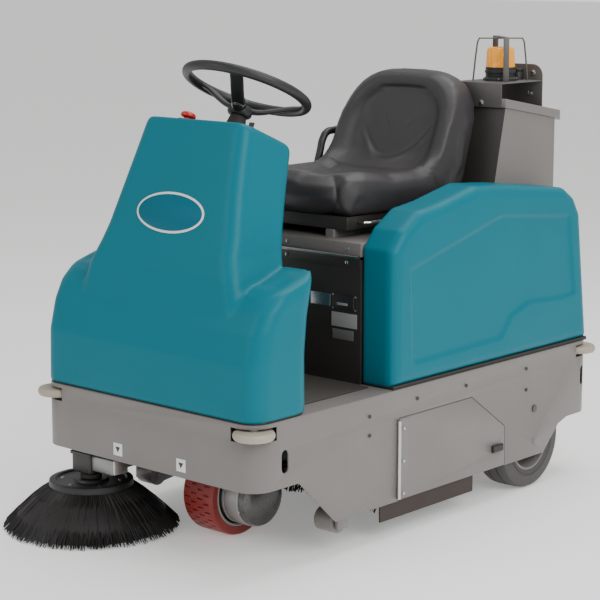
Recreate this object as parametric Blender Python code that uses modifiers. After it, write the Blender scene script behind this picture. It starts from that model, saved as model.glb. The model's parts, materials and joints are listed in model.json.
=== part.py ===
"""Battery ride-on floor sweeper: a three-wheeled machine with a seat, one side brush and a rear hopper.

Metres, +Z up. Sub-parts are laid out in the machine's own frame: x to the driver's left, y to the
rear, z up from the floor, zero midway between the chassis walls. The empty "machine" carries them
all, and its location puts the world origin on the floor under the middle of the whole machine.
"""

import math

import bmesh
import bpy
from mathutils import Matrix, Vector

GAP = 0.0003

CHASSIS_LENGTH = 1.51
CHASSIS_WIDTH = 0.807
CHASSIS_CORNER = 0.06
DECK_TOP = 0.413
DECK_THICK = 0.008
PLATE = 0.004
SKIRT_Z = 0.237
SILL_Z = 0.101
TAIL_Z = 0.190

ROLLER_RADIUS = 0.0565
ROLLER_INSET = 0.030
ROLLER_Z = (0.3715, 0.3975)
ROLLER_BORE = 0.006

DRIVE_WHEEL = (0.0165, -0.456, 0.119)
DRIVE_RADIUS = 0.119
DRIVE_HALF_WIDTH = 0.055
MOTOR_RADIUS = 0.082
MOTOR_END = 0.146

REAR_WHEEL_Y = 0.462
REAR_RADIUS = 0.145
REAR_WHEEL_X = (0.287, 0.391)
AXLE_RADIUS = 0.010

BRUSH_X, BRUSH_Y = -0.3055, -0.668
BRISTLE_RADIUS = 0.242
RING_RADIUS = 0.118
BRUSH_LIFT_Y, BRUSH_LIFT_Z = -0.42, 0.2135
RING_Z = (0.113, 0.137)

MAIN_BRUSH_Y, MAIN_BRUSH_Z = -0.04, 0.131
MAIN_BRUSH_RADIUS = 0.130
MAIN_BRUSH_HALF = 0.300
BRUSH_ARM_PIVOT = (-0.400, 0.087)

WHEEL_CENTRE = (0.0, -0.352, 1.214)
WHEEL_RADIUS = 0.169
RIM_RADIUS = 0.013
COLUMN_TILT = math.radians(24.8)
CONSOLE_TOP = (-0.561, 1.146)
CONSOLE_SLOPE = math.radians(22.5)

BOX_HALF = 0.287
BOX_FRONT = -0.210
BOX_REAR = 0.338
HINGE_Z = 0.765
LID_TOP = 0.803
SEAT_HALF = 0.232

TOWER_HALF = 0.285
TOWER_TOP_FRONT = (0.447, 1.131)
TOWER_TOP_REAR = (0.703, 1.087)

PLATFORM_Z = 1.203
BEACON = (0.186, 0.555)
GUARD_HALF = (0.0605, 0.0545)
GUARD_TOP = 1.334

HALF = CHASSIS_WIDTH / 2
FRONT, REAR = -CHASSIS_LENGTH / 2, CHASSIS_LENGTH / 2
SIDES = (("left", 1), ("right", -1))


def clear_scene():
    for obj in list(bpy.data.objects):
        bpy.data.objects.remove(obj, do_unlink=True)


def new_collection(name):
    collection = bpy.data.collections.new(name)
    bpy.context.scene.collection.children.link(collection)
    return collection


def new_material(name, colour, roughness, metallic=0.0):
    material = bpy.data.materials.new(name)
    material.use_nodes = True
    shader = material.node_tree.nodes["Principled BSDF"]
    shader.inputs["Base Color"].default_value = (*colour, 1.0)
    shader.inputs["Roughness"].default_value = roughness
    shader.inputs["Metallic"].default_value = metallic
    material.diffuse_color = (*colour, 1.0)
    return material


clear_scene()
parts = new_collection("ride_on_sweeper")
cutters = new_collection("cutters")

grey_paint = new_material("grey_paint", (0.26, 0.25, 0.24), 0.45, 0.2)
dark_paint = new_material("dark_paint", (0.045, 0.040, 0.040), 0.5)
teal_shell = new_material("teal_shell", (0.0, 0.20, 0.26), 0.35)
black_vinyl = new_material("black_vinyl", (0.020, 0.020, 0.022), 0.45)
black_plastic = new_material("black_plastic", (0.015, 0.015, 0.015), 0.35)
black_rubber = new_material("black_rubber", (0.025, 0.022, 0.021), 0.8)
grey_tyre = new_material("grey_tyre", (0.05, 0.05, 0.05), 0.85)
red_tyre = new_material("red_tyre", (0.35, 0.04, 0.03), 0.5)
pale_plastic = new_material("pale_plastic", (0.62, 0.58, 0.53), 0.5)
bright_steel = new_material("bright_steel", (0.65, 0.65, 0.65), 0.25, 1.0)
amber_lens = new_material("amber_lens", (0.95, 0.45, 0.02), 0.15)
red_plastic = new_material("red_plastic", (0.6, 0.03, 0.02), 0.35)
bristle = new_material("bristle", (0.012, 0.012, 0.012), 0.9)


def make_object(name, mesh, material=None, parent=None, helper=False):
    obj = bpy.data.objects.new(name, mesh)
    (cutters if helper else parts).objects.link(obj)
    obj.parent = parent or machine
    if material:
        obj.data.materials.append(material)
    if helper:
        obj.hide_render = True
        obj.display_type = "WIRE"
    return obj


def pivot(name, place, rotation=(0, 0, 0)):
    """An empty on a joint's axis, which carries the pieces that turn or slide there."""
    empty = bpy.data.objects.new(name, None)
    cutters.objects.link(empty)
    empty.parent = machine
    empty.location = place
    empty.rotation_euler = rotation
    return empty


def place_in(obj, place, rotation=(0, 0, 0)):
    """Puts an object at a place given in the machine's frame, whatever pivot carries it."""
    turn = Matrix.Rotation(rotation[2], 4, "Z") @ Matrix.Rotation(rotation[1], 4, "Y")
    turn = turn @ Matrix.Rotation(rotation[0], 4, "X")
    local = Matrix.Translation(Vector(place)) @ turn
    if obj.parent is not machine:
        holder = obj.parent
        frame = Matrix.Translation(holder.location) @ holder.rotation_euler.to_matrix().to_4x4()
        local = frame.inverted() @ local
    obj.matrix_basis = local
    return obj


def mesh_from(build):
    mesh = bpy.data.meshes.new("shape")
    body = bmesh.new()
    build(body)
    bmesh.ops.recalc_face_normals(body, faces=body.faces)
    body.to_mesh(mesh)
    body.free()
    return mesh


def box(name, low, high, material=None, parent=None, helper=False, round_by=0.0):
    size = Vector(high) - Vector(low)
    middle = (Vector(high) + Vector(low)) / 2

    def build(body):
        bmesh.ops.create_cube(body, size=1.0)
        bmesh.ops.scale(body, vec=size, verts=body.verts)
        if round_by:
            bmesh.ops.bevel(
                body, geom=body.edges, offset=round_by, segments=2, profile=0.5, affect="EDGES"
            )

    obj = make_object(name, mesh_from(build), material, parent, helper)
    return place_in(obj, middle)


AXIS_TURN = {"X": (0, math.pi / 2, 0), "Y": (math.pi / 2, 0, 0), "Z": (0, 0, 0)}


def cylinder(
    name, middle, radius, length, axis, material=None, parent=None, helper=False, sides=24, tilt=0.0,
):
    def build(body):
        bmesh.ops.create_cone(
            body, cap_ends=True, segments=sides, radius1=radius, radius2=radius, depth=length
        )

    obj = make_object(name, mesh_from(build), material, parent, helper)
    for face in obj.data.polygons:
        face.use_smooth = len(face.vertices) == 4
    turn = AXIS_TURN[axis]
    return place_in(obj, middle, (turn[0] + tilt, turn[1], turn[2]))


def prism(name, outline, low, high, axis, material=None, parent=None, helper=False):
    """A flat outline, filled and extruded from low to high along an axis.

    The outline is (y, z) for axis X, (x, z) for axis Y and (x, y) for axis Z.
    """
    curve = bpy.data.curves.new("outline", "CURVE")
    curve.dimensions = "2D"
    curve.fill_mode = "BOTH"
    curve.extrude = (high - low) / 2
    spline = curve.splines.new("POLY")
    spline.points.add(len(outline) - 1)
    for point, (across, along) in zip(spline.points, outline):
        point.co = (across, along, 0, 1)
    spline.use_cyclic_u = True
    mesh = mesh_of_curve(curve)
    swap = {
        "X": Matrix(((0, 0, 1, 0), (1, 0, 0, 0), (0, 1, 0, 0), (0, 0, 0, 1))),
        "Y": Matrix(((1, 0, 0, 0), (0, 0, -1, 0), (0, 1, 0, 0), (0, 0, 0, 1))),
        "Z": Matrix.Identity(4),
    }[axis]
    mesh.transform(swap)
    middle = {"X": (1, 0, 0), "Y": (0, 1, 0), "Z": (0, 0, 1)}[axis]
    obj = make_object(name, mesh, material, parent, helper)
    return place_in(obj, Vector(middle) * (high + low) / 2)


def mesh_of_curve(curve):
    """The curve as a welded, closed mesh."""
    guide = bpy.data.objects.new("guide", curve)
    bpy.context.scene.collection.objects.link(guide)
    graph = bpy.context.evaluated_depsgraph_get()
    mesh = bpy.data.meshes.new_from_object(guide.evaluated_get(graph))
    bpy.data.objects.remove(guide, do_unlink=True)
    body = bmesh.new()
    body.from_mesh(mesh)
    bmesh.ops.remove_doubles(body, verts=body.verts, dist=0.00001)
    bmesh.ops.recalc_face_normals(body, faces=body.faces)
    body.to_mesh(mesh)
    body.free()
    return mesh


def tube(name, points, radius, material=None, parent=None, helper=False, closed=False, sides=2):
    """A round wire or tube along the points."""
    curve = bpy.data.curves.new("route", "CURVE")
    curve.dimensions = "3D"
    curve.bevel_depth = radius
    curve.bevel_resolution = sides
    curve.use_fill_caps = True
    spline = curve.splines.new("POLY")
    spline.points.add(len(points) - 1)
    for point, place in zip(spline.points, points):
        point.co = (*place, 1)
    spline.use_cyclic_u = closed
    obj = make_object(name, mesh_of_curve(curve), material, parent, helper)
    return place_in(obj, (0, 0, 0))


def turned(
    name, profile, middle, axis, material=None, parent=None, steps=24, tilt=0.0, helper=False
):
    """A profile of (radius, height) points, outer side first from the top, spun round an axis."""

    def build(body):
        corners = [body.verts.new((radius, 0, height)) for radius, height in profile]
        for start, end in zip(corners, corners[1:] + corners[:1]):
            body.edges.new((start, end))

    mesh = bpy.data.meshes.new("profile")
    body = bmesh.new()
    build(body)
    body.to_mesh(mesh)
    body.free()
    obj = make_object(name, mesh, material, parent, helper)
    screw = obj.modifiers.new("turn", "SCREW")
    screw.steps = screw.render_steps = steps
    screw.use_merge_vertices = True
    screw.merge_threshold = 0.00001
    turn = AXIS_TURN[axis]
    return place_in(obj, middle, (turn[0] + tilt, turn[1], turn[2]))


def boolean(target, other, operation):
    modifier = target.modifiers.new(operation.lower(), "BOOLEAN")
    modifier.operation = operation
    modifier.object = other
    modifier.solver = "EXACT"
    return target


def cut(target, *others):
    for other in others:
        boolean(target, other, "DIFFERENCE")
    return target


def join(target, *others):
    for other in others:
        boolean(target, other, "UNION")
    return target


def arc(centre, radius, start, end, count):
    """Points along an arc, with its angles in degrees."""
    angles = [math.radians(start + (end - start) * step / (count - 1)) for step in range(count)]
    return [(centre[0] + radius * math.cos(a), centre[1] + radius * math.sin(a)) for a in angles]


def rounded_rectangle(half_x, front, rear, radius, count=5):
    """Plan outline, anticlockwise from the front right corner."""
    return (
        arc((-half_x + radius, front + radius), radius, 180, 270, count)
        + arc((half_x - radius, front + radius), radius, 270, 360, count)
        + arc((half_x - radius, rear - radius), radius, 0, 90, count)
        + arc((-half_x + radius, rear - radius), radius, 90, 180, count)
    )


def span(sign, near, far):
    """Low and high x of a stretch between two distances from the middle, on one side."""
    return (near, far) if sign > 0 else (-far, -near)


MACHINE_LOW = (BRUSH_X - BRISTLE_RADIUS, BRUSH_Y - BRISTLE_RADIUS)
MACHINE_HIGH = (HALF - ROLLER_INSET + ROLLER_RADIUS, REAR - ROLLER_INSET + ROLLER_RADIUS)
machine = bpy.data.objects.new("machine", None)
cutters.objects.link(machine)
machine.location = (
    -(MACHINE_LOW[0] + MACHINE_HIGH[0]) / 2,
    -(MACHINE_LOW[1] + MACHINE_HIGH[1]) / 2,
    0.0,
)


# Chassis: an inverted steel tub with a shaped lower edge.

DOOR_OUTLINE = ((-0.183, 0.335), (0.146, 0.335), (0.308, 0.221), (0.312, 0.09), (-0.183, 0.09))
SIDE_OUTLINE = (
    (FRONT - 0.01, DECK_TOP + 0.01), (FRONT - 0.01, SKIRT_Z), (-0.588, SKIRT_Z),
    (-0.444, SILL_Z), (0.508, SILL_Z), (0.586, 0.176), (0.631, TAIL_Z),
    (REAR + 0.01, TAIL_Z), (REAR + 0.01, DECK_TOP + 0.01),
)


def chassis():
    plan = rounded_rectangle(HALF, FRONT, REAR, CHASSIS_CORNER, 6)
    tub = prism("chassis_frame", plan, 0.05, DECK_TOP, "Z", grey_paint)
    side = prism("side_shape", SIDE_OUTLINE, -0.6, 0.6, "X", helper=True)
    boolean(tub, side, "INTERSECT")
    inner = rounded_rectangle(HALF - PLATE, FRONT + PLATE, REAR - PLATE, CHASSIS_CORNER - PLATE, 6)
    cut(tub, prism("inside", inner, -0.1, DECK_TOP - DECK_THICK, "Z", helper=True))
    cut(tub, prism("door_openings", DOOR_OUTLINE, -0.6, 0.6, "X", helper=True))
    for end, y in (("front", -0.642), ("rear", 0.7125)):
        slot = box(f"{end}_slots", (-0.6, y - 0.013, 0.274), (0.6, y + 0.013, 0.336), helper=True)
        bevel = slot.modifiers.new("round", "BEVEL")
        bevel.width = 0.0125
        bevel.segments = 2
        cut(tub, slot)
    for side_name, sign in SIDES:
        for end, y in (("front", FRONT + ROLLER_INSET), ("rear", REAR - ROLLER_INSET)):
            middle = (sign * (HALF - ROLLER_INSET), y, 0.5 * sum(ROLLER_Z))
            height = ROLLER_Z[1] - ROLLER_Z[0] + 0.010
            notch = cylinder(
                f"notch_{end}_{side_name}", middle, ROLLER_RADIUS + 0.004, height, "Z", helper=True
            )
            cut(tub, notch)
        bracket = box(
            f"axle_bracket_{side_name}",
            (span(sign, 0.262, 0.270)[0], 0.40, 0.10),
            (span(sign, 0.262, 0.270)[1], 0.52, DECK_TOP - 0.004),
            helper=True,
        )
        join(tub, bracket)
    hopper_mouth = box("hopper_mouth", (-0.252, 0.7, 0.04), (0.252, 0.8, 0.392), helper=True)
    cut(tub, hopper_mouth)

    return tub


def floor_mat():
    low, high = (-0.33, -0.495, DECK_TOP + GAP), (0.33, -0.225, DECK_TOP + 0.0045)
    box("floor_mat", low, high, black_rubber)


# Bumper rollers: pucks that turn on vertical pins in the chassis corners.


def bumper_rollers(frame):
    low, high = ROLLER_Z
    for side_name, sign in SIDES:
        for end, y in (("front", FRONT + ROLLER_INSET), ("rear", REAR - ROLLER_INSET)):
            middle = (sign * (HALF - ROLLER_INSET), y, 0.5 * (low + high))
            half = 0.5 * (high - low)
            edge = 0.006
            profile = (
                (ROLLER_RADIUS - edge, half), (ROLLER_RADIUS, half - edge),
                (ROLLER_RADIUS, edge - half), (ROLLER_RADIUS - edge, -half),
                (ROLLER_BORE, -half), (ROLLER_BORE, half),
            )
            name = f"bumper_roller_{end}_{side_name}"
            turned(name, profile, middle, "Z", pale_plastic, pivot(f"{name}_pivot", middle), 20)
            pin = cylinder(f"{name}_pin", middle, ROLLER_BORE - GAP, 0.047, "Z", helper=True, sides=20)
            join(frame, pin)


# Drive unit: steered fork, wheel and hub motor.


def drive_unit(frame):
    x, y, z = DRIVE_WHEEL
    underside = DECK_TOP - DECK_THICK
    bearing = cylinder("king_bearing", (x, y, underside - 0.020), 0.055, 0.044, "Z", helper=True)
    bore = cylinder("king_bore", (x, y, underside - 0.05), 0.0358, 0.1, "Z", helper=True)
    cut(join(frame, bearing), bore)
    king = pivot("steer_pivot", (x, y, z))
    axle = pivot("drive_axle_pivot", DRIVE_WHEEL)
    half = DRIVE_HALF_WIDTH

    fork = box("drive_fork", (x - 0.085, y - 0.05, 0.292), (x + 0.130, y + 0.05, 0.306), dark_paint, king)
    far_arm = box(
        "far_arm", (x - 0.085, y - 0.035, z - 0.032), (x - 0.072, y + 0.035, 0.300), helper=True
    )
    saddle = box(
        "saddle", (x + 0.078, y - 0.035, z + MOTOR_RADIUS + GAP), (x + 0.128, y + 0.035, 0.300),
        helper=True,
    )
    post = cylinder("post", (x, y, 0.352), 0.035, 0.1055, "Z", helper=True)
    join(fork, far_arm, saddle, post)
    cut(fork, cylinder("fork_bore", (x - 0.078, y, z), 0.0155, 0.05, "X", helper=True))

    groove = 0.003
    tread = (
        (DRIVE_RADIUS - 0.006, half), (DRIVE_RADIUS, half - 0.008),
        (DRIVE_RADIUS, 0.006), (DRIVE_RADIUS - groove, 0.004),
        (DRIVE_RADIUS - groove, -0.004), (DRIVE_RADIUS, -0.006),
        (DRIVE_RADIUS, 0.008 - half), (DRIVE_RADIUS - 0.006, -half),
        (0.092, -half), (0.092, half),
    )
    turned("drive_tyre", tread, DRIVE_WHEEL, "X", red_tyre, axle, 28)
    inner = 0.092 - GAP
    rim = (
        (inner, half - 0.002), (inner, 0.002 - half), (0.080, 0.002 - half),
        (0.080, -0.004), (0.015, -0.010), (0.015, 0.010), (0.080, 0.004), (0.080, half - 0.002),
    )
    turned("drive_rim", rim, DRIVE_WHEEL, "X", bright_steel, axle, 28)
    casing = cylinder(
        "drive_motor", (x + 0.061 + 0.02, y, z), MOTOR_RADIUS, 0.04, "X", bright_steel, king, sides=28
    )
    step = cylinder(
        "motor_cap", (x + 0.1155, y, z), MOTOR_RADIUS - 0.004, 2 * (MOTOR_END - 0.1155), "X",
        helper=True, sides=28,
    )
    spindle = cylinder("motor_shaft", (x - 0.01, y, z), 0.0147, 0.15, "X", helper=True, sides=16)
    join(casing, step, spindle)


# Rear wheels on stub axles.


def rear_wheels(frame):
    low, high = REAR_WHEEL_X
    half = 0.5 * (high - low)
    hub_radius = 0.086
    for side_name, sign in SIDES:
        middle = (sign * 0.5 * (low + high), REAR_WHEEL_Y, 0.145)
        axle = pivot(f"rear_axle_pivot_{side_name}", middle)
        tread = (
            (REAR_RADIUS - 0.016, half), (REAR_RADIUS - 0.004, half - 0.007),
            (REAR_RADIUS, half - 0.020), (REAR_RADIUS, 0.020 - half),
            (REAR_RADIUS - 0.004, 0.007 - half), (REAR_RADIUS - 0.016, -half),
            (hub_radius, 0.008 - half), (hub_radius, half - 0.008),
        )
        turned(f"rear_tyre_{side_name}", tread, middle, "X", grey_tyre, axle, 24)
        edge = hub_radius - GAP
        hub = (
            (edge, half - 0.012), (edge, 0.012 - half), (edge - 0.008, 0.012 - half),
            (edge - 0.016, -0.010), (0.030, -0.014), (0.026, 0.004 - half),
            (AXLE_RADIUS + GAP, 0.004 - half), (AXLE_RADIUS + GAP, half - 0.004),
            (0.026, half - 0.004), (0.030, 0.014), (edge - 0.016, 0.010), (edge - 0.008, half - 0.012),
        )
        turned(f"rear_hub_{side_name}", hub, middle, "X", grey_paint, axle, 24)
        length = HALF + 0.002 - 0.255
        centre = (sign * (0.255 + length / 2), REAR_WHEEL_Y, 0.145)
        stub = cylinder(
            f"rear_axle_{side_name}", centre, AXLE_RADIUS, length, "X", helper=True, sides=16
        )
        join(frame, stub)


# Side brush on a lifting arm.


def side_brush(frame):
    arm_hinge = (BRUSH_X + 0.02, BRUSH_LIFT_Y, BRUSH_LIFT_Z)
    lift = pivot("brush_lift_pivot", arm_hinge)
    spin = pivot("side_brush_pivot", (BRUSH_X, BRUSH_Y, 0.12))

    arm_low = (BRUSH_X - 0.012, -0.70, 0.2223)
    arm_high = (BRUSH_X + 0.052, BRUSH_LIFT_Y + 0.012, 0.2303)
    arm = box("side_brush_arm", arm_low, arm_high, grey_paint, lift)
    ear = cylinder("arm_ear", arm_hinge, 0.012, 0.064, "X", helper=True, sides=16)
    bore = cylinder("arm_bore", arm_hinge, 0.0053, 0.2, "X", helper=True, sides=12)
    cut(join(arm, ear), bore)
    hanger = prism(
        "brush_hanger",
        (
            (BRUSH_LIFT_Y - 0.015, 0.2005), (BRUSH_LIFT_Y + 0.015, 0.2005),
            (BRUSH_LIFT_Y + 0.030, DECK_TOP - 0.002), (BRUSH_LIFT_Y - 0.030, DECK_TOP - 0.002),
        ),
        BRUSH_X - 0.021, BRUSH_X + 0.061, "X", helper=True,
    )
    slot_low = (BRUSH_X - 0.0155, BRUSH_LIFT_Y - 0.06, 0.15)
    slot_high = (BRUSH_X + 0.0555, BRUSH_LIFT_Y + 0.06, 0.36)
    cut(hanger, box("hanger_slot", slot_low, slot_high, helper=True))
    pin = cylinder("brush_lift_pin", arm_hinge, 0.005, 0.090, "X", helper=True, sides=12)
    join(frame, hanger, pin)

    motor_low = (BRUSH_X - 0.040, BRUSH_Y - 0.036, 0.152)
    motor_high = (BRUSH_X + 0.036, BRUSH_Y + 0.036, 0.222)
    motor = box("side_brush_motor", motor_low, motor_high, dark_paint, lift, round_by=0.005)
    gear_low = (BRUSH_X + 0.030, BRUSH_Y - 0.030, 0.165)
    gear_high = (BRUSH_X + 0.125, BRUSH_Y + 0.030, 0.212)
    gearbox = box("brush_gearbox", gear_low, gear_high, helper=True)
    join(motor, gearbox)

    low, high = RING_Z
    ring = (
        (RING_RADIUS - 0.006, high), (RING_RADIUS, high - 0.006), (RING_RADIUS, low),
        (0.001, low), (0.001, high + 0.0147), (0.030, high + 0.0147), (0.034, high - 0.008),
        (RING_RADIUS - 0.020, high - 0.008), (RING_RADIUS - 0.016, high),
    )
    ring_middle = (BRUSH_X, BRUSH_Y, 0)
    turned("side_brush_plate", ring, ring_middle, "Z", black_plastic, spin, 24)

    tuft_profile = (
        (RING_RADIUS - 0.008, low - GAP), (RING_RADIUS + 0.045, 0.075), (0.215, 0.030),
        (BRISTLE_RADIUS, 0.010), (BRISTLE_RADIUS - 0.004, 0.001), (0.190, 0.001),
        (0.150, 0.026), (0.085, 0.085), (0.075, low - GAP),
    )
    turned("side_brush_bristles", tuft_profile, ring_middle, "Z", bristle, spin, 24)


# Main brush between two lift arms.


def main_brush(frame):
    middle = (0, MAIN_BRUSH_Y, MAIN_BRUSH_Z)
    lift = pivot("main_lift_pivot", (0, *BRUSH_ARM_PIVOT))
    spin = pivot("main_brush_pivot", middle)
    half = MAIN_BRUSH_HALF
    cover = (
        (MAIN_BRUSH_RADIUS, half), (MAIN_BRUSH_RADIUS, -half),
        (0.0553, -half), (0.0553, half),
    )
    turned("main_brush", cover, middle, "X", bristle, spin, 32)
    core = cylinder("main_brush_core", middle, 0.055, 2 * half + 0.008, "X", grey_paint, spin)
    stub = cylinder("core_stub", middle, 0.012, 2 * half + 0.080, "X", helper=True, sides=16)
    join(core, stub)
    pivot_y, pivot_z = BRUSH_ARM_PIVOT
    slope = math.degrees(math.atan2(MAIN_BRUSH_Z - pivot_z, MAIN_BRUSH_Y - pivot_y))
    outline = arc((pivot_y, pivot_z), 0.028, slope + 270, slope + 90, 9) + arc(
        (MAIN_BRUSH_Y, MAIN_BRUSH_Z), 0.030, slope + 90, slope - 90, 9
    )
    for side_name, sign in SIDES:
        low, high = span(sign, 0.318, 0.326)
        arm = prism(f"brush_arm_{side_name}", outline, low, high, "X", grey_paint, lift)
        boss_x = sign * 0.345
        boss = cylinder(
            f"boss_{side_name}", (boss_x, pivot_y, pivot_z), 0.0325, 0.06, "X", helper=True, sides=20
        )
        stub_bore = cylinder(
            f"stub_bore_{side_name}", (sign * 0.32, MAIN_BRUSH_Y, MAIN_BRUSH_Z), 0.0125, 0.06, "X",
            helper=True, sides=16,
        )
        pin_bore = cylinder(
            f"arm_bore_{side_name}", (sign * 0.34, pivot_y, pivot_z), 0.0083, 0.12, "X", helper=True,
            sides=12,
        )
        cut(join(arm, boss), stub_bore, pin_bore)
        hanger = box(
            f"arm_hanger_{side_name}",
            (span(sign, 0.3795, 0.3985)[0], pivot_y - 0.028, 0.128),
            (span(sign, 0.3795, 0.3985)[1], pivot_y + 0.028, DECK_TOP - 0.002),
            helper=True,
        )
        tongue = box(
            f"tongue_{side_name}",
            (span(sign, 0.3795, 0.3895)[0], pivot_y - 0.020, pivot_z - 0.018),
            (span(sign, 0.3795, 0.3895)[1], pivot_y + 0.020, 0.15),
            helper=True,
        )
        pin = cylinder(
            f"arm_pin_{side_name}", (sign * 0.350, pivot_y, pivot_z), 0.008, 0.072, "X", helper=True,
            sides=12,
        )
        join(frame, hanger, tongue, pin)


# Side doors, their latches, and the rubber skirts behind them.


def side_doors():
    outline = (
        (-0.181, 0.333), (0.1455, 0.333), (0.3055, 0.2203), (0.3095, SILL_Z + 0.002),
        (-0.181, SILL_Z + 0.002),
    )
    barrel_x, barrel_y = HALF + 0.005, -0.187
    for side_name, sign in SIDES:
        hinge = pivot(f"door_pivot_{side_name}", (sign * barrel_x, barrel_y, 0.219))
        low, high = span(sign, HALF - 0.003, HALF)
        door = prism(f"side_door_{side_name}", outline, low, high, "X", grey_paint, hinge)
        low, high = span(sign, HALF + GAP, HALF + 0.0025)
        leaf = box(
            f"door_leaf_{side_name}", (low, barrel_y, 0.108), (high, -0.145, 0.330), helper=True
        )
        low, high = span(sign, HALF - 0.001, HALF + 0.002)
        pad = box(f"leaf_pad_{side_name}", (low, -0.180, 0.110), (high, -0.147, 0.328), helper=True)
        barrel = cylinder(
            f"door_barrel_{side_name}", (sign * barrel_x, barrel_y, 0.219), 0.0045, 0.222, "Z",
            helper=True, sides=12,
        )
        bolt_hole = cylinder(
            f"latch_hole_{side_name}", (sign * HALF, 0.262, 0.1615), 0.0083, 0.05, "X", helper=True,
            sides=16,
        )
        cut(join(door, leaf, pad, barrel), bolt_hole)
        latch_pivot = pivot(f"latch_pivot_{side_name}", (sign * HALF, 0.262, 0.1615))
        latch = box(
            f"door_latch_{side_name}",
            (span(sign, HALF + GAP, HALF + 0.009)[0], 0.244, 0.151),
            (span(sign, HALF + GAP, HALF + 0.009)[1], 0.294, 0.172),
            black_plastic, latch_pivot, round_by=0.003,
        )
        stem = cylinder(
            f"latch_stem_{side_name}", (sign * (HALF - 0.002), 0.262, 0.1615), 0.008, 0.018, "X",
            helper=True, sides=16,
        )
        join(latch, stem)
        box(
            f"side_skirt_{side_name}",
            (span(sign, HALF - 0.0145, HALF - 0.0095)[0], -0.249, 0.052),
            (span(sign, HALF - 0.0145, HALF - 0.0095)[1], 0.169, 0.150),
            black_rubber,
        )


# Hopper: an open tray that draws out at the rear.


def hopper():
    slide = pivot("hopper_pivot", (0, 0.45, 0.2))
    tray = box("hopper", (-0.245, 0.17, 0.055), (0.245, 0.762, 0.380), grey_paint, slide)
    hollow = box("hopper_hollow", (-0.241, 0.10, 0.059), (0.241, 0.757, 0.50), helper=True)
    lip = box("hopper_lip", (-0.245, 0.17, 0.055), (0.245, 0.174, 0.110), helper=True)
    face = box("hopper_face", (-0.300, 0.7553, 0.196), (0.300, 0.762, 0.400), helper=True)
    join(cut(tray, hollow), lip, face)
    half = 0.12
    grip = [(-half, 0.758, 0.32), (-half, 0.775, 0.32), (half, 0.775, 0.32), (half, 0.758, 0.32)]
    join(tray, tube("hopper_handle", grip, 0.005, None, slide, helper=True))


# Front shroud: a moulded shell lofted through plan outlines.


def loft(rings, closed=False):
    """A surface through rings of equal point counts, capped at its last ring or at both."""
    body = bmesh.new()
    rows = [[body.verts.new(point) for point in ring] for ring in rings]
    for lower, upper in zip(rows, rows[1:]):
        for index in range(len(lower)):
            after = (index + 1) % len(lower)
            body.faces.new((lower[index], lower[after], upper[after], upper[index]))
    body.faces.new(rows[-1])
    if closed:
        body.faces.new(rows[0])
    bmesh.ops.recalc_face_normals(body, faces=body.faces)
    mesh = bpy.data.meshes.new("loft")
    body.to_mesh(mesh)
    body.free()
    return mesh


def shroud_ring(z, half, front, rear, corner, slope=0.0):
    plan = rounded_rectangle(half, front, rear, corner, 5)
    return [(x, y, z - slope * (y - front)) for x, y in plan]


def lower_shroud(name, wall=0.0):
    """The wide body of the shroud, drawn in by a wall thickness for its hollow."""
    full, foot = HALF - wall, DECK_TOP + 0.004
    sections = (
        (foot if wall == 0.0 else 0.30, -0.0015, -0.752, -0.537, 0.060, 0.0),
        (0.560, 0.0, -0.745, -0.540, 0.060, -0.05),
        (0.640, 0.0, -0.722, -0.528, 0.060, -0.15),
        (0.690, -0.0015, -0.695, -0.512, 0.055, -0.25),
        (0.715, -0.0095, -0.668, -0.500, 0.050, -0.28),
        (0.728, -0.0335, -0.640, -0.505, 0.045, -0.30),
        (0.735, -0.0635, -0.610, -0.512, 0.040, -0.30),
    )
    rings = [
        shroud_ring(z - wall, full + narrow, front + wall, rear - wall, corner, slope)
        for z, narrow, front, rear, corner, slope in sections
    ]
    return make_object(name, loft(rings, True), teal_shell, helper=wall > 0.0)


def upper_shroud(name, wall=0.0):
    """The console column of the shroud, with its top falling towards the driver."""
    top_y, top_z = CONSOLE_TOP
    fall = math.tan(CONSOLE_SLOPE)
    sections = (
        (0.660, 0.300, -0.712, -0.500, 0.055, 0.0),
        (0.760, 0.272, -0.696, -0.484, 0.050, 0.0),
        (0.810, 0.250, -0.680, -0.464, 0.045, 0.0),
        (0.860, 0.241, -0.658, -0.450, 0.042, 0.0),
        (0.960, 0.220, -0.625, -0.418, 0.040, fall * 0.3),
        (1.060, 0.202, -0.589, -0.388, 0.038, fall * 0.7),
        (top_z - 0.012, 0.190, top_y - 0.001, -0.365, 0.036, fall),
        (top_z, 0.181, top_y + 0.008, -0.371, 0.030, fall),
    )
    if wall:
        sections = sections[:-1]
    rings = [
        shroud_ring(z, half - wall, front + wall, rear - wall, corner, slope)
        for z, half, front, rear, corner, slope in sections
    ]
    return make_object(name, loft(rings, True), teal_shell, helper=True)


def front_shroud():
    shroud = join(lower_shroud("front_shroud"), upper_shroud("shroud_column"))
    wall = 0.004
    hole = cylinder(
        "column_hole", (0, -0.412, 1.08), 0.036, 0.12, "Z", helper=True, tilt=-COLUMN_TILT
    )
    cut(shroud, lower_shroud("shroud_hollow", wall), upper_shroud("column_hollow", wall), hole)
    shade(shroud)


def along_column(distance):
    """A point on the steering axis, measured down from the wheel's centre."""
    x, y, z = WHEEL_CENTRE
    return (x, y - distance * math.sin(COLUMN_TILT), z - distance * math.cos(COLUMN_TILT))


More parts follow.
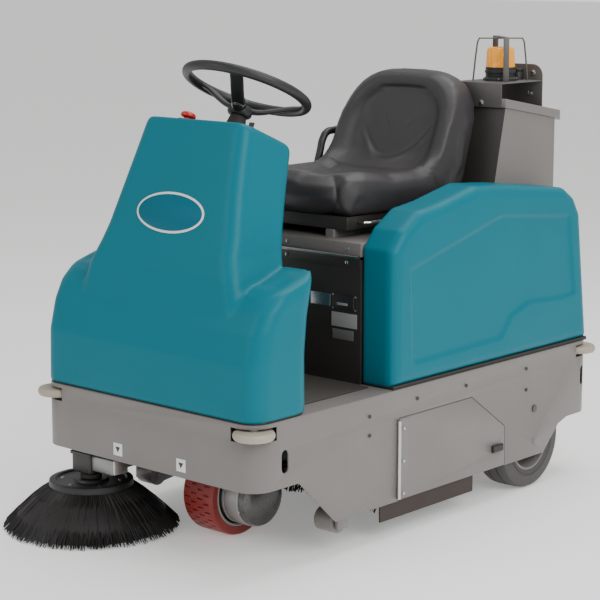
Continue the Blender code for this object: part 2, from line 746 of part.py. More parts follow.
def steering():
    turn = pivot("steering_pivot", WHEEL_CENTRE, (-COLUMN_TILT, 0, 0))
    steps = 24
    turns = [2 * math.pi * i / steps for i in range(steps)]
    circle = [(WHEEL_RADIUS * math.cos(a), WHEEL_RADIUS * math.sin(a), 0) for a in turns]
    rim = tube("steering_wheel", circle, RIM_RADIUS, black_plastic, turn, closed=True)
    rim.matrix_basis = Matrix.Identity(4)
    hub = cylinder(
        "wheel_hub", along_column(0.052), 0.034, 0.05, "Z", None, turn, helper=True, tilt=-COLUMN_TILT
    )
    join(rim, hub)
    for index, angle in enumerate((60, 180, 300)):
        reach = WHEEL_RADIUS - 0.016
        spoke = box(
            f"spoke_{index}", (-reach / 2, -0.015, -0.004), (reach / 2, 0.015, 0.004), None, turn, True
        )
        spoke.matrix_basis = (
            Matrix.Rotation(math.radians(angle), 4, "Z")
            @ Matrix.Translation((0.021 + 0.5 * (WHEEL_RADIUS - 0.022), 0, -0.030))
            @ Matrix.Rotation(math.radians(-17), 4, "Y")
        )
        join(rim, spoke)
    cylinder(
        "steering_shaft", along_column(0.077 + GAP + 0.099), 0.011, 0.198, "Z", bright_steel, turn,
        sides=16, tilt=-COLUMN_TILT,
    )
    column = (
        (0.022, 0.078), (0.030, 0.040), (0.034, -0.030), (0.034, -0.090), (0.0115, -0.090),
        (0.0115, 0.078),
    )
    turned(
        "steering_column", column, along_column(0.157), "Z", black_rubber, None, 20, -COLUMN_TILT
    )
    low, high = (-0.055, -0.612, 0.812), (0.055, -0.490, 0.905)
    gearbox = box("steering_gearbox", low, high, dark_paint, round_by=0.008)
    length = 0.83 - DECK_TOP - GAP
    down = cylinder(
        "down_tube", (0, -0.604, 0.83 - length / 2), 0.018, length, "Z", helper=True, sides=16
    )
    join(gearbox, down)


# Controls on the console and in the footwell.


def on_console(x, y, height=0.0):
    """A point above the sloping top of the console."""
    top_y, top_z = CONSOLE_TOP
    base = Vector((x, y, top_z - math.tan(CONSOLE_SLOPE) * (y - top_y - 0.008)))
    return base + height * Vector((0, math.sin(CONSOLE_SLOPE), math.cos(CONSOLE_SLOPE)))


def controls(frame):
    slope = -CONSOLE_SLOPE
    panel = box("dash_panel", (-0.145, -0.055, -0.002), (0.145, 0.045, 0.002), black_plastic)
    place_in(panel, on_console(0, -0.462, 0.002 + GAP), (slope, 0, 0))
    column_hole = cylinder(
        "panel_hole", on_console(0, -0.412), 0.036, 0.1, "Z", helper=True, tilt=-COLUMN_TILT
    )
    cut(panel, column_hole)

    button_place = on_console(-0.115, -0.482, 0.0043 + GAP)
    button_pivot = pivot("stop_button_pivot", button_place, (slope, 0, 0))
    profile = (
        (0.018, 0.036), (0.022, 0.031), (0.022, 0.022), (0.012, 0.018), (0.012, 0.005),
        (0.001, 0.005), (0.001, 0.036),
    )
    turned("stop_button", profile, button_place, "Z", red_plastic, button_pivot, 20, slope)
    collar = (
        (0.019, 0.012), (0.021, -0.003), (0.001, -0.003), (0.001, 0.0003), (0.0124, 0.0003),
        (0.0124, 0.012),
    )
    ring = turned("stop_button_collar", collar, button_place, "Z", None, None, 20, slope, helper=True)

    key_place = on_console(0.100, -0.450, 0.0043 + GAP)
    key_pivot = pivot("key_pivot", key_place, (slope, 0, 0))
    key = cylinder("key_switch", key_place, 0.011, 0.008, "Z", bright_steel, key_pivot, sides=16)
    place_in(key, on_console(0.100, -0.450, 0.0083 + GAP), (slope, 0, 0))
    blade = box("key_blade", (-0.009, -0.0015, -0.012), (0.009, 0.0015, 0.012), helper=True)
    blade.parent = key_pivot
    place_in(blade, on_console(0.100, -0.450, 0.0215), (slope, 0, 0))
    join(key, blade)

    gauge = cylinder("battery_gauge", (0, 0, 0), 0.022, 0.010, "Z", helper=True, sides=20)
    place_in(gauge, on_console(0.040, -0.487, 0.0050 + GAP), (slope, 0, 0))
    join(panel, ring, gauge)

    pedals = (("accelerator_pedal", -0.12, 0.062, 0.125), ("brake_pedal", 0.12, 0.070, 0.100))
    for name, x, width, reach in pedals:
        hinge = (x, -0.515, 0.452)
        foot = pivot(f"{name}_pivot", hinge)
        tilt = math.radians(38)
        low, high = (-width / 2, 0, -0.004), (width / 2, reach, 0.004)
        plate = box(name, low, high, dark_paint, foot, round_by=0.0015)
        axis = Vector((0, math.cos(tilt), math.sin(tilt)))
        place_in(plate, Vector(hinge) + axis * (reach / 2), (tilt, 0, 0))
        knuckle = cylinder(f"{name}_knuckle", hinge, 0.010, width, "X", helper=True, sides=14)
        knuckle.parent = foot
        place_in(knuckle, hinge, AXIS_TURN["X"])
        bore = cylinder(f"{name}_bore", hinge, 0.0053, width + 0.02, "X", helper=True, sides=12)
        cut(join(plate, knuckle), bore)
        half = width / 2
        low, high = (x - half - 0.006, -0.529, DECK_TOP - 0.002), (x + half + 0.006, -0.501, 0.462)
        bracket = box(f"{name}_bracket", low, high, helper=True)
        low, high = (x - half - GAP, -0.60, DECK_TOP + 0.004), (x + half + GAP, -0.48, 0.50)
        cut(bracket, box(f"{name}_throat", low, high, helper=True))
        rod = cylinder(f"{name}_rod", hinge, 0.005, width + 0.010, "X", helper=True, sides=12)
        join(frame, bracket, rod)


# Battery box, its hinged lid, and what it holds.


def battery_box():
    top = HINGE_Z - 0.007
    low, high = (-BOX_HALF, BOX_FRONT, DECK_TOP + GAP), (BOX_HALF, BOX_REAR, top)
    case = box("battery_box", low, high, dark_paint)
    inside = box(
        "box_inside", (0.003 - BOX_HALF, BOX_FRONT + 0.003, DECK_TOP + 0.004),
        (BOX_HALF - 0.003, BOX_REAR - 0.003, 0.9), helper=True,
    )
    cut(case, inside)
    for side_name, sign in SIDES:
        x_low, x_high = span(sign, 0.010, 0.190)
        battery = box(
            f"battery_{side_name}", (x_low, -0.12, DECK_TOP + 0.0043), (x_high, 0.21, 0.690),
            black_plastic,
        )
        for index, y in enumerate((-0.08, 0.17)):
            post = cylinder(
                f"terminal_{side_name}_{index}", (sign * 0.1, y, 0.695), 0.009, 0.03, "Z",
                helper=True, sides=12,
            )
            join(battery, post)
    pin = cylinder(
        "lid_hinge_pin", (0, BOX_FRONT - 0.005, HINGE_Z), 0.0042, 2 * BOX_HALF - 0.004, "X",
        helper=True, sides=12,
    )
    leaf = box(
        "box_leaf", (-BOX_HALF + 0.002, BOX_FRONT - 0.0028, HINGE_Z - 0.030),
        (BOX_HALF - 0.002, BOX_FRONT + 0.001, HINGE_Z - 0.001), helper=True,
    )
    join(case, pin, leaf)


def seat():
    lid_pivot = pivot("lid_pivot", (0, BOX_FRONT - 0.005, HINGE_Z))
    low, high = (-BOX_HALF, BOX_FRONT, HINGE_Z + 0.001), (BOX_HALF, BOX_REAR, LID_TOP)
    lid = box("seat_lid", low, high, grey_paint, lid_pivot)
    hollow = box(
        "lid_inside", (0.003 - BOX_HALF, BOX_FRONT + 0.003, 0.7),
        (BOX_HALF - 0.003, BOX_REAR - 0.003, LID_TOP - 0.003), helper=True,
    )
    cut(lid, hollow)
    slide_pivot = pivot("seat_pivot", (0, 0, LID_TOP))
    rail_top = LID_TOP + 0.022
    for side_name, sign in SIDES:
        x_low, x_high = span(sign, 0.125, 0.155)
        rail = box(
            f"rail_{side_name}", (x_low, -0.17, LID_TOP - 0.001), (x_high, 0.25, rail_top), helper=True
        )
        join(lid, rail)
    pan = box(
        "seat_pan", (-0.200, -0.165, rail_top + GAP), (0.200, 0.255, 0.862), dark_paint, slide_pivot
    )
    relief = box("pan_relief", (-0.11, -0.14, 0.80), (0.11, 0.23, 0.852), helper=True)
    cut(pan, relief)
    cushion_outline = (
        (-0.165, 0.8623), (-0.205, 0.880), (-0.228, 0.915), (-0.222, 0.950), (-0.180, 0.972),
        (0.02, 0.945), (0.190, 0.945), (0.2047, 0.955), (0.2347, 0.8623),
    )
    cushion = prism("seat_cushion", cushion_outline, -SEAT_HALF, SEAT_HALF, "X", black_vinyl, slide_pivot)
    soften(cushion, 0.025)
    back_outline = (
        (0.2050, 0.9553), (0.236, 0.8623), (0.300, 0.8623), (0.345, 0.93), (0.400, 1.10),
        (0.412, 1.20), (0.400, 1.238), (0.375, 1.249), (0.348, 1.235), (0.300, 1.10), (0.252, 0.99),
    )
    back = prism("seat_backrest", back_outline, -SEAT_HALF, SEAT_HALF, "X", black_vinyl, slide_pivot)
    fullness = 2 / 2.8  # under 1 makes the crest squarer than an ellipse
    crown = [
        (math.copysign(abs(x) ** fullness, x), max(z, 0.0) ** fullness)
        for x, z in arc((0, 0), 1.0, 180, 0, 17)
    ]
    crest = [(0.226 * x, 1.050 + 0.20 * z) for x, z in crown]
    face_shape = prism(
        "back_shape", [(-0.230, 0.85), *crest, (0.230, 0.85)], 0.1, 0.5, "Y", helper=True
    )
    boolean(back, face_shape, "INTERSECT")
    lever_pivot = pivot("lever_pivot", (0.2045, -0.12, 0.846))
    lever = tube(
        "seat_lever",
        [(0.2045, -0.12, 0.846), (0.228, -0.125, 0.846), (0.236, -0.110, 0.846), (0.240, 0.06, 0.846)],
        0.004, bright_steel, lever_pivot,
    )
    grip = cylinder("lever_grip", (0.240, 0.05, 0.846), 0.007, 0.06, "Y", helper=True, sides=12)
    grip.parent = lever_pivot
    place_in(grip, (0.240, 0.05, 0.846), AXIS_TURN["Y"])
    join(lever, grip)
    bar = [(-0.205, 0.19, 0.850), (-0.242, 0.19, 0.850), (-0.249, 0.198, 0.870), (-0.249, 0.235, 0.990)]
    bar += [(-0.249, y, z) for y, z in arc((0.275, 1.005), 0.038, 200, 95, 6)]
    bar += [(-0.249, 0.375, 1.047)]
    tube("hip_bar", bar, 0.011, black_plastic, slide_pivot)


def soften(obj, width):
    bevel = obj.modifiers.new("soften", "BEVEL")
    bevel.width = width
    bevel.segments = 2
    bevel.limit_method = "ANGLE"
    bevel.angle_limit = math.radians(60)


# Teal covers beside the battery box.

COVER_OUTLINE = (
    (-0.207, 0.4175), (-0.207, 0.790), (-0.165, 0.842), (-0.089, 0.889), (0.002, 0.901),
    (0.166, 0.936), (0.315, 0.926), (0.605, 0.892), (0.655, 0.860), (0.687, 0.809), (0.739, 0.4175),
)
RECESS_OUTLINE = (
    (0.276, 0.843), (0.622, 0.808), (0.661, 0.565), (0.583, 0.560), (0.422, 0.569),
    (0.337, 0.542), (0.288, 0.483), (-0.111, 0.472), (-0.126, 0.486), (-0.138, 0.737),
)


def inset(outline, amount, floor):
    """The clockwise outline with every edge moved inward, its foot kept on the floor line."""
    moved = []
    for index, here in enumerate(outline):
        before, after = Vector(outline[index - 1]), Vector(outline[(index + 1) % len(outline)])
        here = Vector(here)
        first, second = (here - before).normalized(), (after - here).normalized()
        normal = Vector((first.y, -first.x)) + Vector((second.y, -second.x))
        step = normal * (2 * amount / normal.length_squared)
        moved.append((here.x + step.x, max(here.y + step.y, floor)))
    return moved


def side_covers():
    floor = COVER_OUTLINE[0][1]
    rounding = ((-0.0285, 0.0), (-0.014, 0.004), (-0.004, 0.014), (0.0, 0.0285))
    for side_name, sign in SIDES:
        near = BOX_HALF + 0.003
        rings = [[(sign * near, y, z) for y, z in COVER_OUTLINE]]
        for depth, amount in rounding:
            x = sign * (HALF + depth)
            rings.append([(x, y, z) for y, z in inset(COVER_OUTLINE, amount, floor)])
        cover = make_object(f"side_cover_{side_name}", loft(rings, True), teal_shell)
        shade(cover)
        hollow_low, hollow_high = span(sign, BOX_HALF, HALF - 0.032)
        low, high = (hollow_low, -0.170, 0.40), (hollow_high, 0.670, 0.780)
        inside = box(f"cover_inside_{side_name}", low, high, helper=True)
        low, high = span(sign, HALF - 0.006, HALF + 0.02)
        recess = prism(f"recess_{side_name}", RECESS_OUTLINE, low, high, "X", helper=True)
        cut(cover, inside, recess)


def shade(obj):
    obj.data.shade_smooth()
    obj.data.set_sharp_from_angle(angle=math.radians(35))


# Filter housing behind the seat, with its lid and its accessory platform.


def lid_height(y, above=0.027):
    """Height of the sloping lid at y, at its top or at a distance above the housing's rim."""
    slope = (TOWER_TOP_REAR[1] - TOWER_TOP_FRONT[1]) / (TOWER_TOP_REAR[0] - TOWER_TOP_FRONT[0])
    return TOWER_TOP_FRONT[1] + slope * (y - TOWER_TOP_FRONT[0]) + above


def tower():
    front, rear = TOWER_TOP_FRONT, TOWER_TOP_REAR
    foot = DECK_TOP + GAP
    outline = (
        (0.345, foot), (0.345, 0.760), (0.374, 0.800), front, rear, (0.703, 0.820),
        (0.735, 0.790), (0.735, foot),
    )
    house = prism("filter_housing", outline, -TOWER_HALF, TOWER_HALF, "X", grey_paint)
    inner = (
        (0.349, 0.30), (0.349, 0.760), (0.378, 0.799), (0.4663, 1.20), (0.699, 1.20), (0.699, 0.818),
        (0.731, 0.788), (0.731, 0.30),
    )
    cut(house, prism("house_inside", inner, 0.004 - TOWER_HALF, TOWER_HALF - 0.004, "X", helper=True))
    nose, tail = front[0] - 0.0045, rear[0] + 0.024
    lid_outline = (
        (nose, lid_height(nose, 0.0006)), (nose, lid_height(nose)), (tail, lid_height(tail)),
        (tail, lid_height(tail, -0.004)), (rear[0] + 0.0006, lid_height(rear[0], 0.0006)),
    )
    prism("housing_lid", lid_outline, -TOWER_HALF - 0.004, TOWER_HALF + 0.004, "X", grey_paint)

    box("filter_cartridge", (-0.24, 0.46, 0.83), (0.24, 0.69, 1.03), pale_plastic)
    volute = ((0.095, 0.045), (0.095, -0.045), (0.030, -0.045), (0.030, 0.045))
    fan_place = (0.0, 0.57, 0.509 + GAP)
    fan = turned("vacuum_fan", volute, fan_place, "X", dark_paint, None, 24)
    join(fan, cylinder("fan_motor", fan_place, 0.032, 0.18, "X", helper=True))
    shelf = box("filter_shelf", (-0.283, 0.376, 0.819), (0.283, 0.701, 0.8295), helper=True)
    cut(shelf, box("shelf_mouth", (-0.20, 0.50, 0.7), (0.20, 0.66, 0.9), helper=True))
    join(house, shelf)


def platform():
    front_y, rear_y = 0.4390, 0.650
    thick = 0.003
    top = PLATFORM_Z
    lid_top = lid_height(rear_y - thick) + GAP
    outline = (
        (front_y, 1.131), (front_y + thick, 1.131), (front_y + thick, top - thick),
        (rear_y - thick, top - thick), (rear_y - thick, lid_top), (rear_y, lid_top),
        (rear_y, 1.250), (rear_y - thick, 1.250), (rear_y - thick, top), (front_y, top),
    )
    bracket = prism("accessory_bracket", outline, 0.100, 0.275, "X", grey_paint)
    notch = [(0.10, 1.27), (0.10, 1.215), *arc((0.155, 1.215), 0.035, 180, 90, 6), (0.24, 1.25)]
    notch += [*arc((0.240, 1.215), 0.035, 90, 0, 6), (0.30, 1.215), (0.30, 1.27)]
    cut(bracket, prism("ear_shape", notch, 0.6, 0.7, "Y", helper=True))

    x, y = BEACON
    turned(
        "beacon_base",
        (
            (0.047, 0.026), (0.052, 0.020), (0.052, 0.0), (0.001, 0.0), (0.001, 0.040), (0.040, 0.040),
            (0.042, 0.026),
        ),
        (x, y, top + GAP), "Z", black_plastic, None, 24,
    )
    lens = (
        (0.034, 0.060), (0.043, 0.052), (0.0445, 0.0), (0.0423, 0.0), (0.040, 0.050), (0.001, 0.057),
        (0.001, 0.060),
    )
    turned("beacon_lens", lens, (x, y, top + GAP + 0.0263 + 0.014), "Z", amber_lens, None, 24)

    across, along = GUARD_HALF
    foot = top + GAP
    shoulder = GUARD_TOP - 0.004
    wire_radius = 0.0022
    high = 0.86
    hoop = [
        (x - across, y - along, foot), (x - across * high, y - along * high, shoulder - 0.012),
        (x - across * high * 0.92, y - along * high * 0.92, shoulder - wire_radius),
        (x + across * high * 0.92, y + along * high * 0.92, shoulder - wire_radius),
        (x + across * high, y + along * high, shoulder - 0.012), (x + across, y + along, foot),
    ]
    tube("beacon_guard_wire", hoop, wire_radius, bright_steel)
    strap_half, strap_wide, strap_thick = 0.082, 0.0085, 0.003
    legs = [
        (-strap_half, foot), (-strap_half * 0.94, GUARD_TOP), (strap_half * 0.94, GUARD_TOP),
        (strap_half, foot),
    ]
    inner = [
        (strap_half - strap_thick, foot), (strap_half * 0.94 - strap_thick, GUARD_TOP - strap_thick),
        (-strap_half * 0.94 + strap_thick, GUARD_TOP - strap_thick), (strap_thick - strap_half, foot),
    ]
    strap = prism("beacon_guard_strap", legs + inner, -strap_wide, strap_wide, "Y", bright_steel)
    place_in(strap, (x, y, 0), (0, 0, -math.atan2(along, across)))
    box("reversing_alarm", (0.184, 0.612, foot), (0.214, 0.642, 1.238), black_plastic, round_by=0.004)


frame = chassis()
floor_mat()
bumper_rollers(frame)
drive_unit(frame)
rear_wheels(frame)
side_brush(frame)
main_brush(frame)
side_doors()
hopper()
front_shroud()
steering()
controls(frame)
battery_box()
seat()
side_covers()
tower()
platform()
bpy.context.view_layer.update()
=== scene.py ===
import json
import math
import random

import bmesh
import bpy
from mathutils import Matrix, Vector


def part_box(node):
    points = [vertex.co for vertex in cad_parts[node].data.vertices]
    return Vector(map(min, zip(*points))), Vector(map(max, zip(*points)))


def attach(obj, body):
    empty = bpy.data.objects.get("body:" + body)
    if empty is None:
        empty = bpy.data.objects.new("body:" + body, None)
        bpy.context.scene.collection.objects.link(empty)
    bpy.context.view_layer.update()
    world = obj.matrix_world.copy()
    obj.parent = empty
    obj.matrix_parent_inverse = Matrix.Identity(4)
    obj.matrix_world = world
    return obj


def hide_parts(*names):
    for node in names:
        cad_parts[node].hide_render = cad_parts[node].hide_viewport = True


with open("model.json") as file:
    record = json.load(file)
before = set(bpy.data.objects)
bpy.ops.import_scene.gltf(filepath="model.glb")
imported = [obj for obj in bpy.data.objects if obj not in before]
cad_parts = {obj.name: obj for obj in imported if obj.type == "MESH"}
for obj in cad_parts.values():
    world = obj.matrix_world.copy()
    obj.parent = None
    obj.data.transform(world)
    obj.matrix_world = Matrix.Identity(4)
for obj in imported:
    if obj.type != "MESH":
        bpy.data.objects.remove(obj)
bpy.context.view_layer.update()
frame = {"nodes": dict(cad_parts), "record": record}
chassisLow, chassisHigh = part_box("chassis_frame")
home = 0.5 * (chassisLow + chassisHigh)  # floor point midway between the chassis walls
home.z = 0.0
sides = (("left", 1), ("right", -1))
print("frame loaded")


def at(x, y, z):
    return home + Vector((x, y, z))


# Camera, floor and lights.

cameraLook = {
    "place": (3.4726, -4.0046, 1.5511),
    "tilt": 79.941,
    "turn": 42.027,
    "lens": 111.27,
    "shift": (0.0060, -0.0143),
}
bpy.ops.object.camera_add(
    location=at(*cameraLook["place"]),
    rotation=(math.radians(cameraLook["tilt"]), 0, math.radians(cameraLook["turn"])),
)
camera = bpy.context.active_object
camera.data.lens = cameraLook["lens"]
camera.data.shift_x, camera.data.shift_y = cameraLook["shift"]
camera.data.clip_end = 200
bpy.context.scene.camera = camera

studio = {
    "sky": (1.0, 1.0, 1.0), "skyPower": 0.60, "backdropPower": 1.18,
    "floorSize": 120.0, "floorColour": (0.95, 0.95, 0.94), "floorGlow": 0.28,
    "lamps": (
        {"place": (4.2, -1.2, 3.4), "aim": (0, 0, 0.5), "size": 3.0, "power": 150},
        {"place": (-1.6, -4.4, 2.8), "aim": (0, -0.3, 0.6), "size": 2.6, "power": 40},
        {"place": (0.4, 1.2, 4.6), "aim": (0, 0, 0.4), "size": 3.4, "power": 120},
    ),
}


def areaLamp(place, aim, size, power):
    bpy.ops.object.light_add(type="AREA", location=at(*place))
    lamp = bpy.context.active_object
    lamp.data.size = size
    lamp.data.energy = power
    lamp.rotation_euler = (Vector(aim) - Vector(place)).to_track_quat("-Z", "Y").to_euler()


for lamp in studio["lamps"]:
    areaLamp(**lamp)
world = bpy.data.worlds.new("studio")
world.use_nodes = True
sky = world.node_tree.nodes["Background"]
sky.inputs["Color"].default_value = (*studio["sky"], 1)
sightLine = world.node_tree.nodes.new("ShaderNodeLightPath")
skyPower = world.node_tree.nodes.new("ShaderNodeMapRange")
skyPower.inputs["To Min"].default_value = studio["skyPower"]
skyPower.inputs["To Max"].default_value = studio["backdropPower"]
world.node_tree.links.new(sightLine.outputs["Is Camera Ray"], skyPower.inputs["Value"])
world.node_tree.links.new(skyPower.outputs["Result"], sky.inputs["Strength"])
bpy.context.scene.world = world

# Finishes. Each row is a base colour, a second colour that drifts through it, a roughness band,
# a fine grain, how far the grain lifts the surface, and what else the finish has.

finishes = {
    "greyPaint": ((0.176, 0.160, 0.148), (0.158, 0.145, 0.135), (0.36, 0.46), 420, 0.10, {"coat": 0.15}),
    "darkPaint": ((0.020, 0.018, 0.016), (0.030, 0.026, 0.022), (0.40, 0.55), 500, 0.12, {}),
    "tealShell": ((0.000, 0.150, 0.200), (0.000, 0.139, 0.187), (0.34, 0.42), 700, 0.05, {"gloss": 0.16}),
    "tealDeep": ((0.000, 0.120, 0.175), (0.000, 0.110, 0.165), (0.40, 0.48), 700, 0.05, {"gloss": 0.16}),
    "blackPlastic": ((0.012, 0.012, 0.012), (0.018, 0.017, 0.017), (0.38, 0.52), 900, 0.15, {}),
    "blackRubber": ((0.018, 0.016, 0.014), (0.030, 0.026, 0.022), (0.60, 0.78), 600, 0.20, {}),
    "floorMat": ((0.055, 0.048, 0.040), (0.040, 0.035, 0.030), (0.55, 0.70), 260, 0.35, {}),
    "skirtRubber": ((0.028, 0.018, 0.014), (0.045, 0.030, 0.024), (0.55, 0.70), 300, 0.20, {}),
    "greyTyre": ((0.062, 0.058, 0.056), (0.085, 0.080, 0.076), (0.65, 0.80), 350, 0.25, {}),
    "redTyre": ((0.290, 0.026, 0.020), (0.190, 0.018, 0.014), (0.35, 0.50), 300, 0.12, {}),
    "palePlastic": ((0.40, 0.35, 0.28), (0.35, 0.305, 0.25), (0.45, 0.60), 500, 0.10, {}),
    "brightSteel": ((0.62, 0.61, 0.60), (0.50, 0.49, 0.48), (0.22, 0.36), 300, 0.06, {"metal": 1.0}),
    "castSteel": ((0.42, 0.42, 0.41), (0.28, 0.28, 0.27), (0.35, 0.52), 260, 0.35, {"metal": 0.85}),
    "darkSteel": ((0.085, 0.083, 0.080), (0.055, 0.053, 0.050), (0.38, 0.52), 320, 0.25, {"metal": 0.6}),
    "redPlastic": ((0.62, 0.020, 0.012), (0.52, 0.016, 0.010), (0.20, 0.30), 600, 0.04, {"coat": 0.4}),
    "labelWhite": ((0.74, 0.74, 0.72), (0.66, 0.66, 0.64), (0.35, 0.45), 700, 0.04, {}),
    "labelGrey": ((0.30, 0.30, 0.29), (0.24, 0.24, 0.23), (0.35, 0.45), 700, 0.04, {}),
    "bristleBlack": ((0.004, 0.003, 0.003), (0.014, 0.011, 0.010), (0.50, 0.68), 900, 0.10, {}),
    "lidPaint": ((0.165, 0.150, 0.140), (0.140, 0.127, 0.118), (0.34, 0.48), 500, 0.12, {}),
    # grey paint darkened as painted shade for the accessory bracket's shaded faces; the beacon guard and side studs
    # reuse it
    "shadedGreyPaint": ((0.070, 0.066, 0.061), (0.086, 0.080, 0.074), (0.40, 0.52), 420, 0.12, {}),
    "boxPaint": ((0.022, 0.019, 0.017), (0.032, 0.028, 0.025), (0.34, 0.50), 500, 0.12, {}),
    "labelDim": ((0.10, 0.095, 0.09), (0.13, 0.125, 0.12), (0.35, 0.5), 700, 0.04, {}),
    "glossBlack": ((0.008, 0.008, 0.008), (0.012, 0.012, 0.012), (0.06, 0.12), 300, 0.01, {"coat": 0.6}),
    "motorCap": ((0.060, 0.060, 0.060), (0.16, 0.155, 0.15), (0.22, 0.34), 120, 0.25, {"patch": 30.0, "metal": 0.7}),
    "seatVinyl": ((0.022, 0.020, 0.022), (0.032, 0.029, 0.031), (0.33, 0.43), 900, 0.1, {}),
    "amberLens": ((0.95, 0.40, 0.00), (0.85, 0.26, 0.00), (0.10, 0.18), 300, 0.05, {"coat": 0.6}),
    "floorPale": (studio["floorColour"], studio["floorColour"], (0.70, 0.80), 40, 0.02, {}),
}


def buildFinish(name, colour, drift, rough, grain, lift, coat=0.0, metal=0.0, gloss=0.5, patch=7.0):
    made = bpy.data.materials.new(name)
    made.use_nodes = True
    nodes, links = made.node_tree.nodes, made.node_tree.links
    shader = nodes["Principled BSDF"]
    shader.inputs["Metallic"].default_value = metal
    shader.inputs["Coat Weight"].default_value = coat
    shader.inputs["Specular IOR Level"].default_value = gloss
    shader.inputs["Coat Roughness"].default_value = 0.12
    place = nodes.new("ShaderNodeTexCoord")
    patches = nodes.new("ShaderNodeTexNoise")
    patches.inputs["Scale"].default_value = patch
    patches.inputs["Detail"].default_value = 8.0
    links.new(place.outputs["Object"], patches.inputs["Vector"])
    blend = nodes.new("ShaderNodeMix")
    blend.data_type = "RGBA"
    blend.inputs["A"].default_value = (*colour, 1)
    blend.inputs["B"].default_value = (*drift, 1)
    links.new(patches.outputs["Fac"], blend.inputs["Factor"])
    links.new(blend.outputs["Result"], shader.inputs["Base Color"])
    speckle = nodes.new("ShaderNodeTexNoise")
    speckle.inputs["Scale"].default_value = grain
    speckle.inputs["Detail"].default_value = 3.0
    links.new(place.outputs["Object"], speckle.inputs["Vector"])
    band = nodes.new("ShaderNodeMapRange")
    band.inputs["From Min"].default_value, band.inputs["From Max"].default_value = 0.3, 0.7
    band.inputs["To Min"].default_value, band.inputs["To Max"].default_value = rough
    links.new(patches.outputs["Fac"], band.inputs["Value"])
    links.new(band.outputs["Result"], shader.inputs["Roughness"])
    raised = nodes.new("ShaderNodeBump")
    raised.inputs["Strength"].default_value = lift
    raised.inputs["Distance"].default_value = 0.0006
    links.new(speckle.outputs["Fac"], raised.inputs["Height"])
    links.new(raised.outputs["Normal"], shader.inputs["Normal"])
    return made


paint = {name: buildFinish(name, *row, **extras) for name, (*row, extras) in finishes.items()}


pebbleLook = {"cells": 420, "seam": 0.12, "strength": 0.35, "depth": 0.0004}
lensLook = {"clear": 0.15, "bend": 1.45, "glow": (1.0, 0.48, 0.0), "glowPower": 0.22}


def pebbleVinyl():
    nodes, links = paint["seatVinyl"].node_tree.nodes, paint["seatVinyl"].node_tree.links
    cells = nodes.new("ShaderNodeTexVoronoi")
    cells.feature = "DISTANCE_TO_EDGE"
    cells.inputs["Scale"].default_value = pebbleLook["cells"]
    links.new(nodes["Texture Coordinate"].outputs["Object"], cells.inputs["Vector"])
    pebble = nodes.new("ShaderNodeMapRange")
    pebble.inputs["From Max"].default_value = pebbleLook["seam"]
    links.new(cells.outputs["Distance"], pebble.inputs["Value"])
    links.new(pebble.outputs["Result"], nodes["Bump"].inputs["Height"])
    nodes["Bump"].inputs["Strength"].default_value = pebbleLook["strength"]
    nodes["Bump"].inputs["Distance"].default_value = pebbleLook["depth"]


def glowing(finish, colour, power):
    shader = paint[finish].node_tree.nodes["Principled BSDF"]
    shader.inputs["Emission Color"].default_value = (*colour, 1)
    shader.inputs["Emission Strength"].default_value = power
    return shader


pebbleVinyl()
lens = glowing("amberLens", lensLook["glow"], lensLook["glowPower"])
lens.inputs["Transmission Weight"].default_value = lensLook["clear"]
lens.inputs["IOR"].default_value = lensLook["bend"]
glowing("floorPale", studio["floorColour"], studio["floorGlow"])

bpy.ops.mesh.primitive_plane_add(size=studio["floorSize"])
floor = bpy.context.active_object
floor.name = "studio_floor"
floor.data.materials.append(paint["floorPale"])
print("studio set")

# Small tools for modelling.

weldGap = 0.00001
bodyOf = {node: body for body, nodes in frame["record"]["behaviour"]["bodies"].items() for node in nodes}


def only(piece):
    bpy.ops.object.select_all(action="DESELECT")
    piece.select_set(True)
    bpy.context.view_layer.objects.active = piece


def dress(piece, finish, body):
    piece.data.materials.clear()
    piece.data.materials.append(paint[finish])
    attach(piece, body)


def standIn(piece, finish, node):
    dress(piece, finish, bodyOf[node])
    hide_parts(node)


def editAll():
    bpy.ops.object.mode_set(mode="EDIT")
    bpy.ops.mesh.select_all(action="SELECT")


def closeEdit():
    bpy.ops.mesh.select_all(action="SELECT")
    bpy.ops.mesh.normals_make_consistent(inside=False)
    bpy.ops.object.mode_set(mode="OBJECT")


def settle(piece, name):
    piece.name = piece.data.name = name
    only(piece)
    bpy.ops.object.transform_apply(location=True, rotation=True, scale=True)
    return piece


def modify(piece, kind, **settings):
    only(piece)
    change = piece.modifiers.new(kind.lower(), kind)
    for key, value in settings.items():
        setattr(change, key, value)
    bpy.ops.object.modifier_apply(modifier=change.name)
    return piece


def smoothed(piece, angle=35):
    only(piece)
    bpy.ops.object.shade_smooth_by_angle(angle=math.radians(angle))
    return piece


def eased(piece, width, segments=3):
    modify(piece, "BEVEL", width=width, segments=segments, limit_method="ANGLE", angle_limit=math.radians(30))
    return smoothed(piece)


def block(name, low, high, ease=0.002):
    middle = 0.5 * (Vector(low) + Vector(high))
    size = Vector(high) - Vector(low)
    bpy.ops.mesh.primitive_cube_add(size=1, location=at(*middle), scale=size)
    return eased(settle(bpy.context.active_object, name), ease)


def tidyCopy(node, name):
    source = frame["nodes"][node]
    piece = source.copy()
    piece.data = source.data.copy()
    bpy.context.scene.collection.objects.link(piece)
    piece.parent = None
    piece.name = piece.data.name = name
    only(piece)
    editAll()
    bpy.ops.mesh.remove_doubles(threshold=weldGap)
    bpy.ops.mesh.dissolve_limited(angle_limit=math.radians(1.0))
    bpy.ops.object.mode_set(mode="OBJECT")
    return piece


# CAD pieces whose shape is right. Sheet and moulded ones are copied with their edges eased by the
# width given; the plain ones only take a finish.

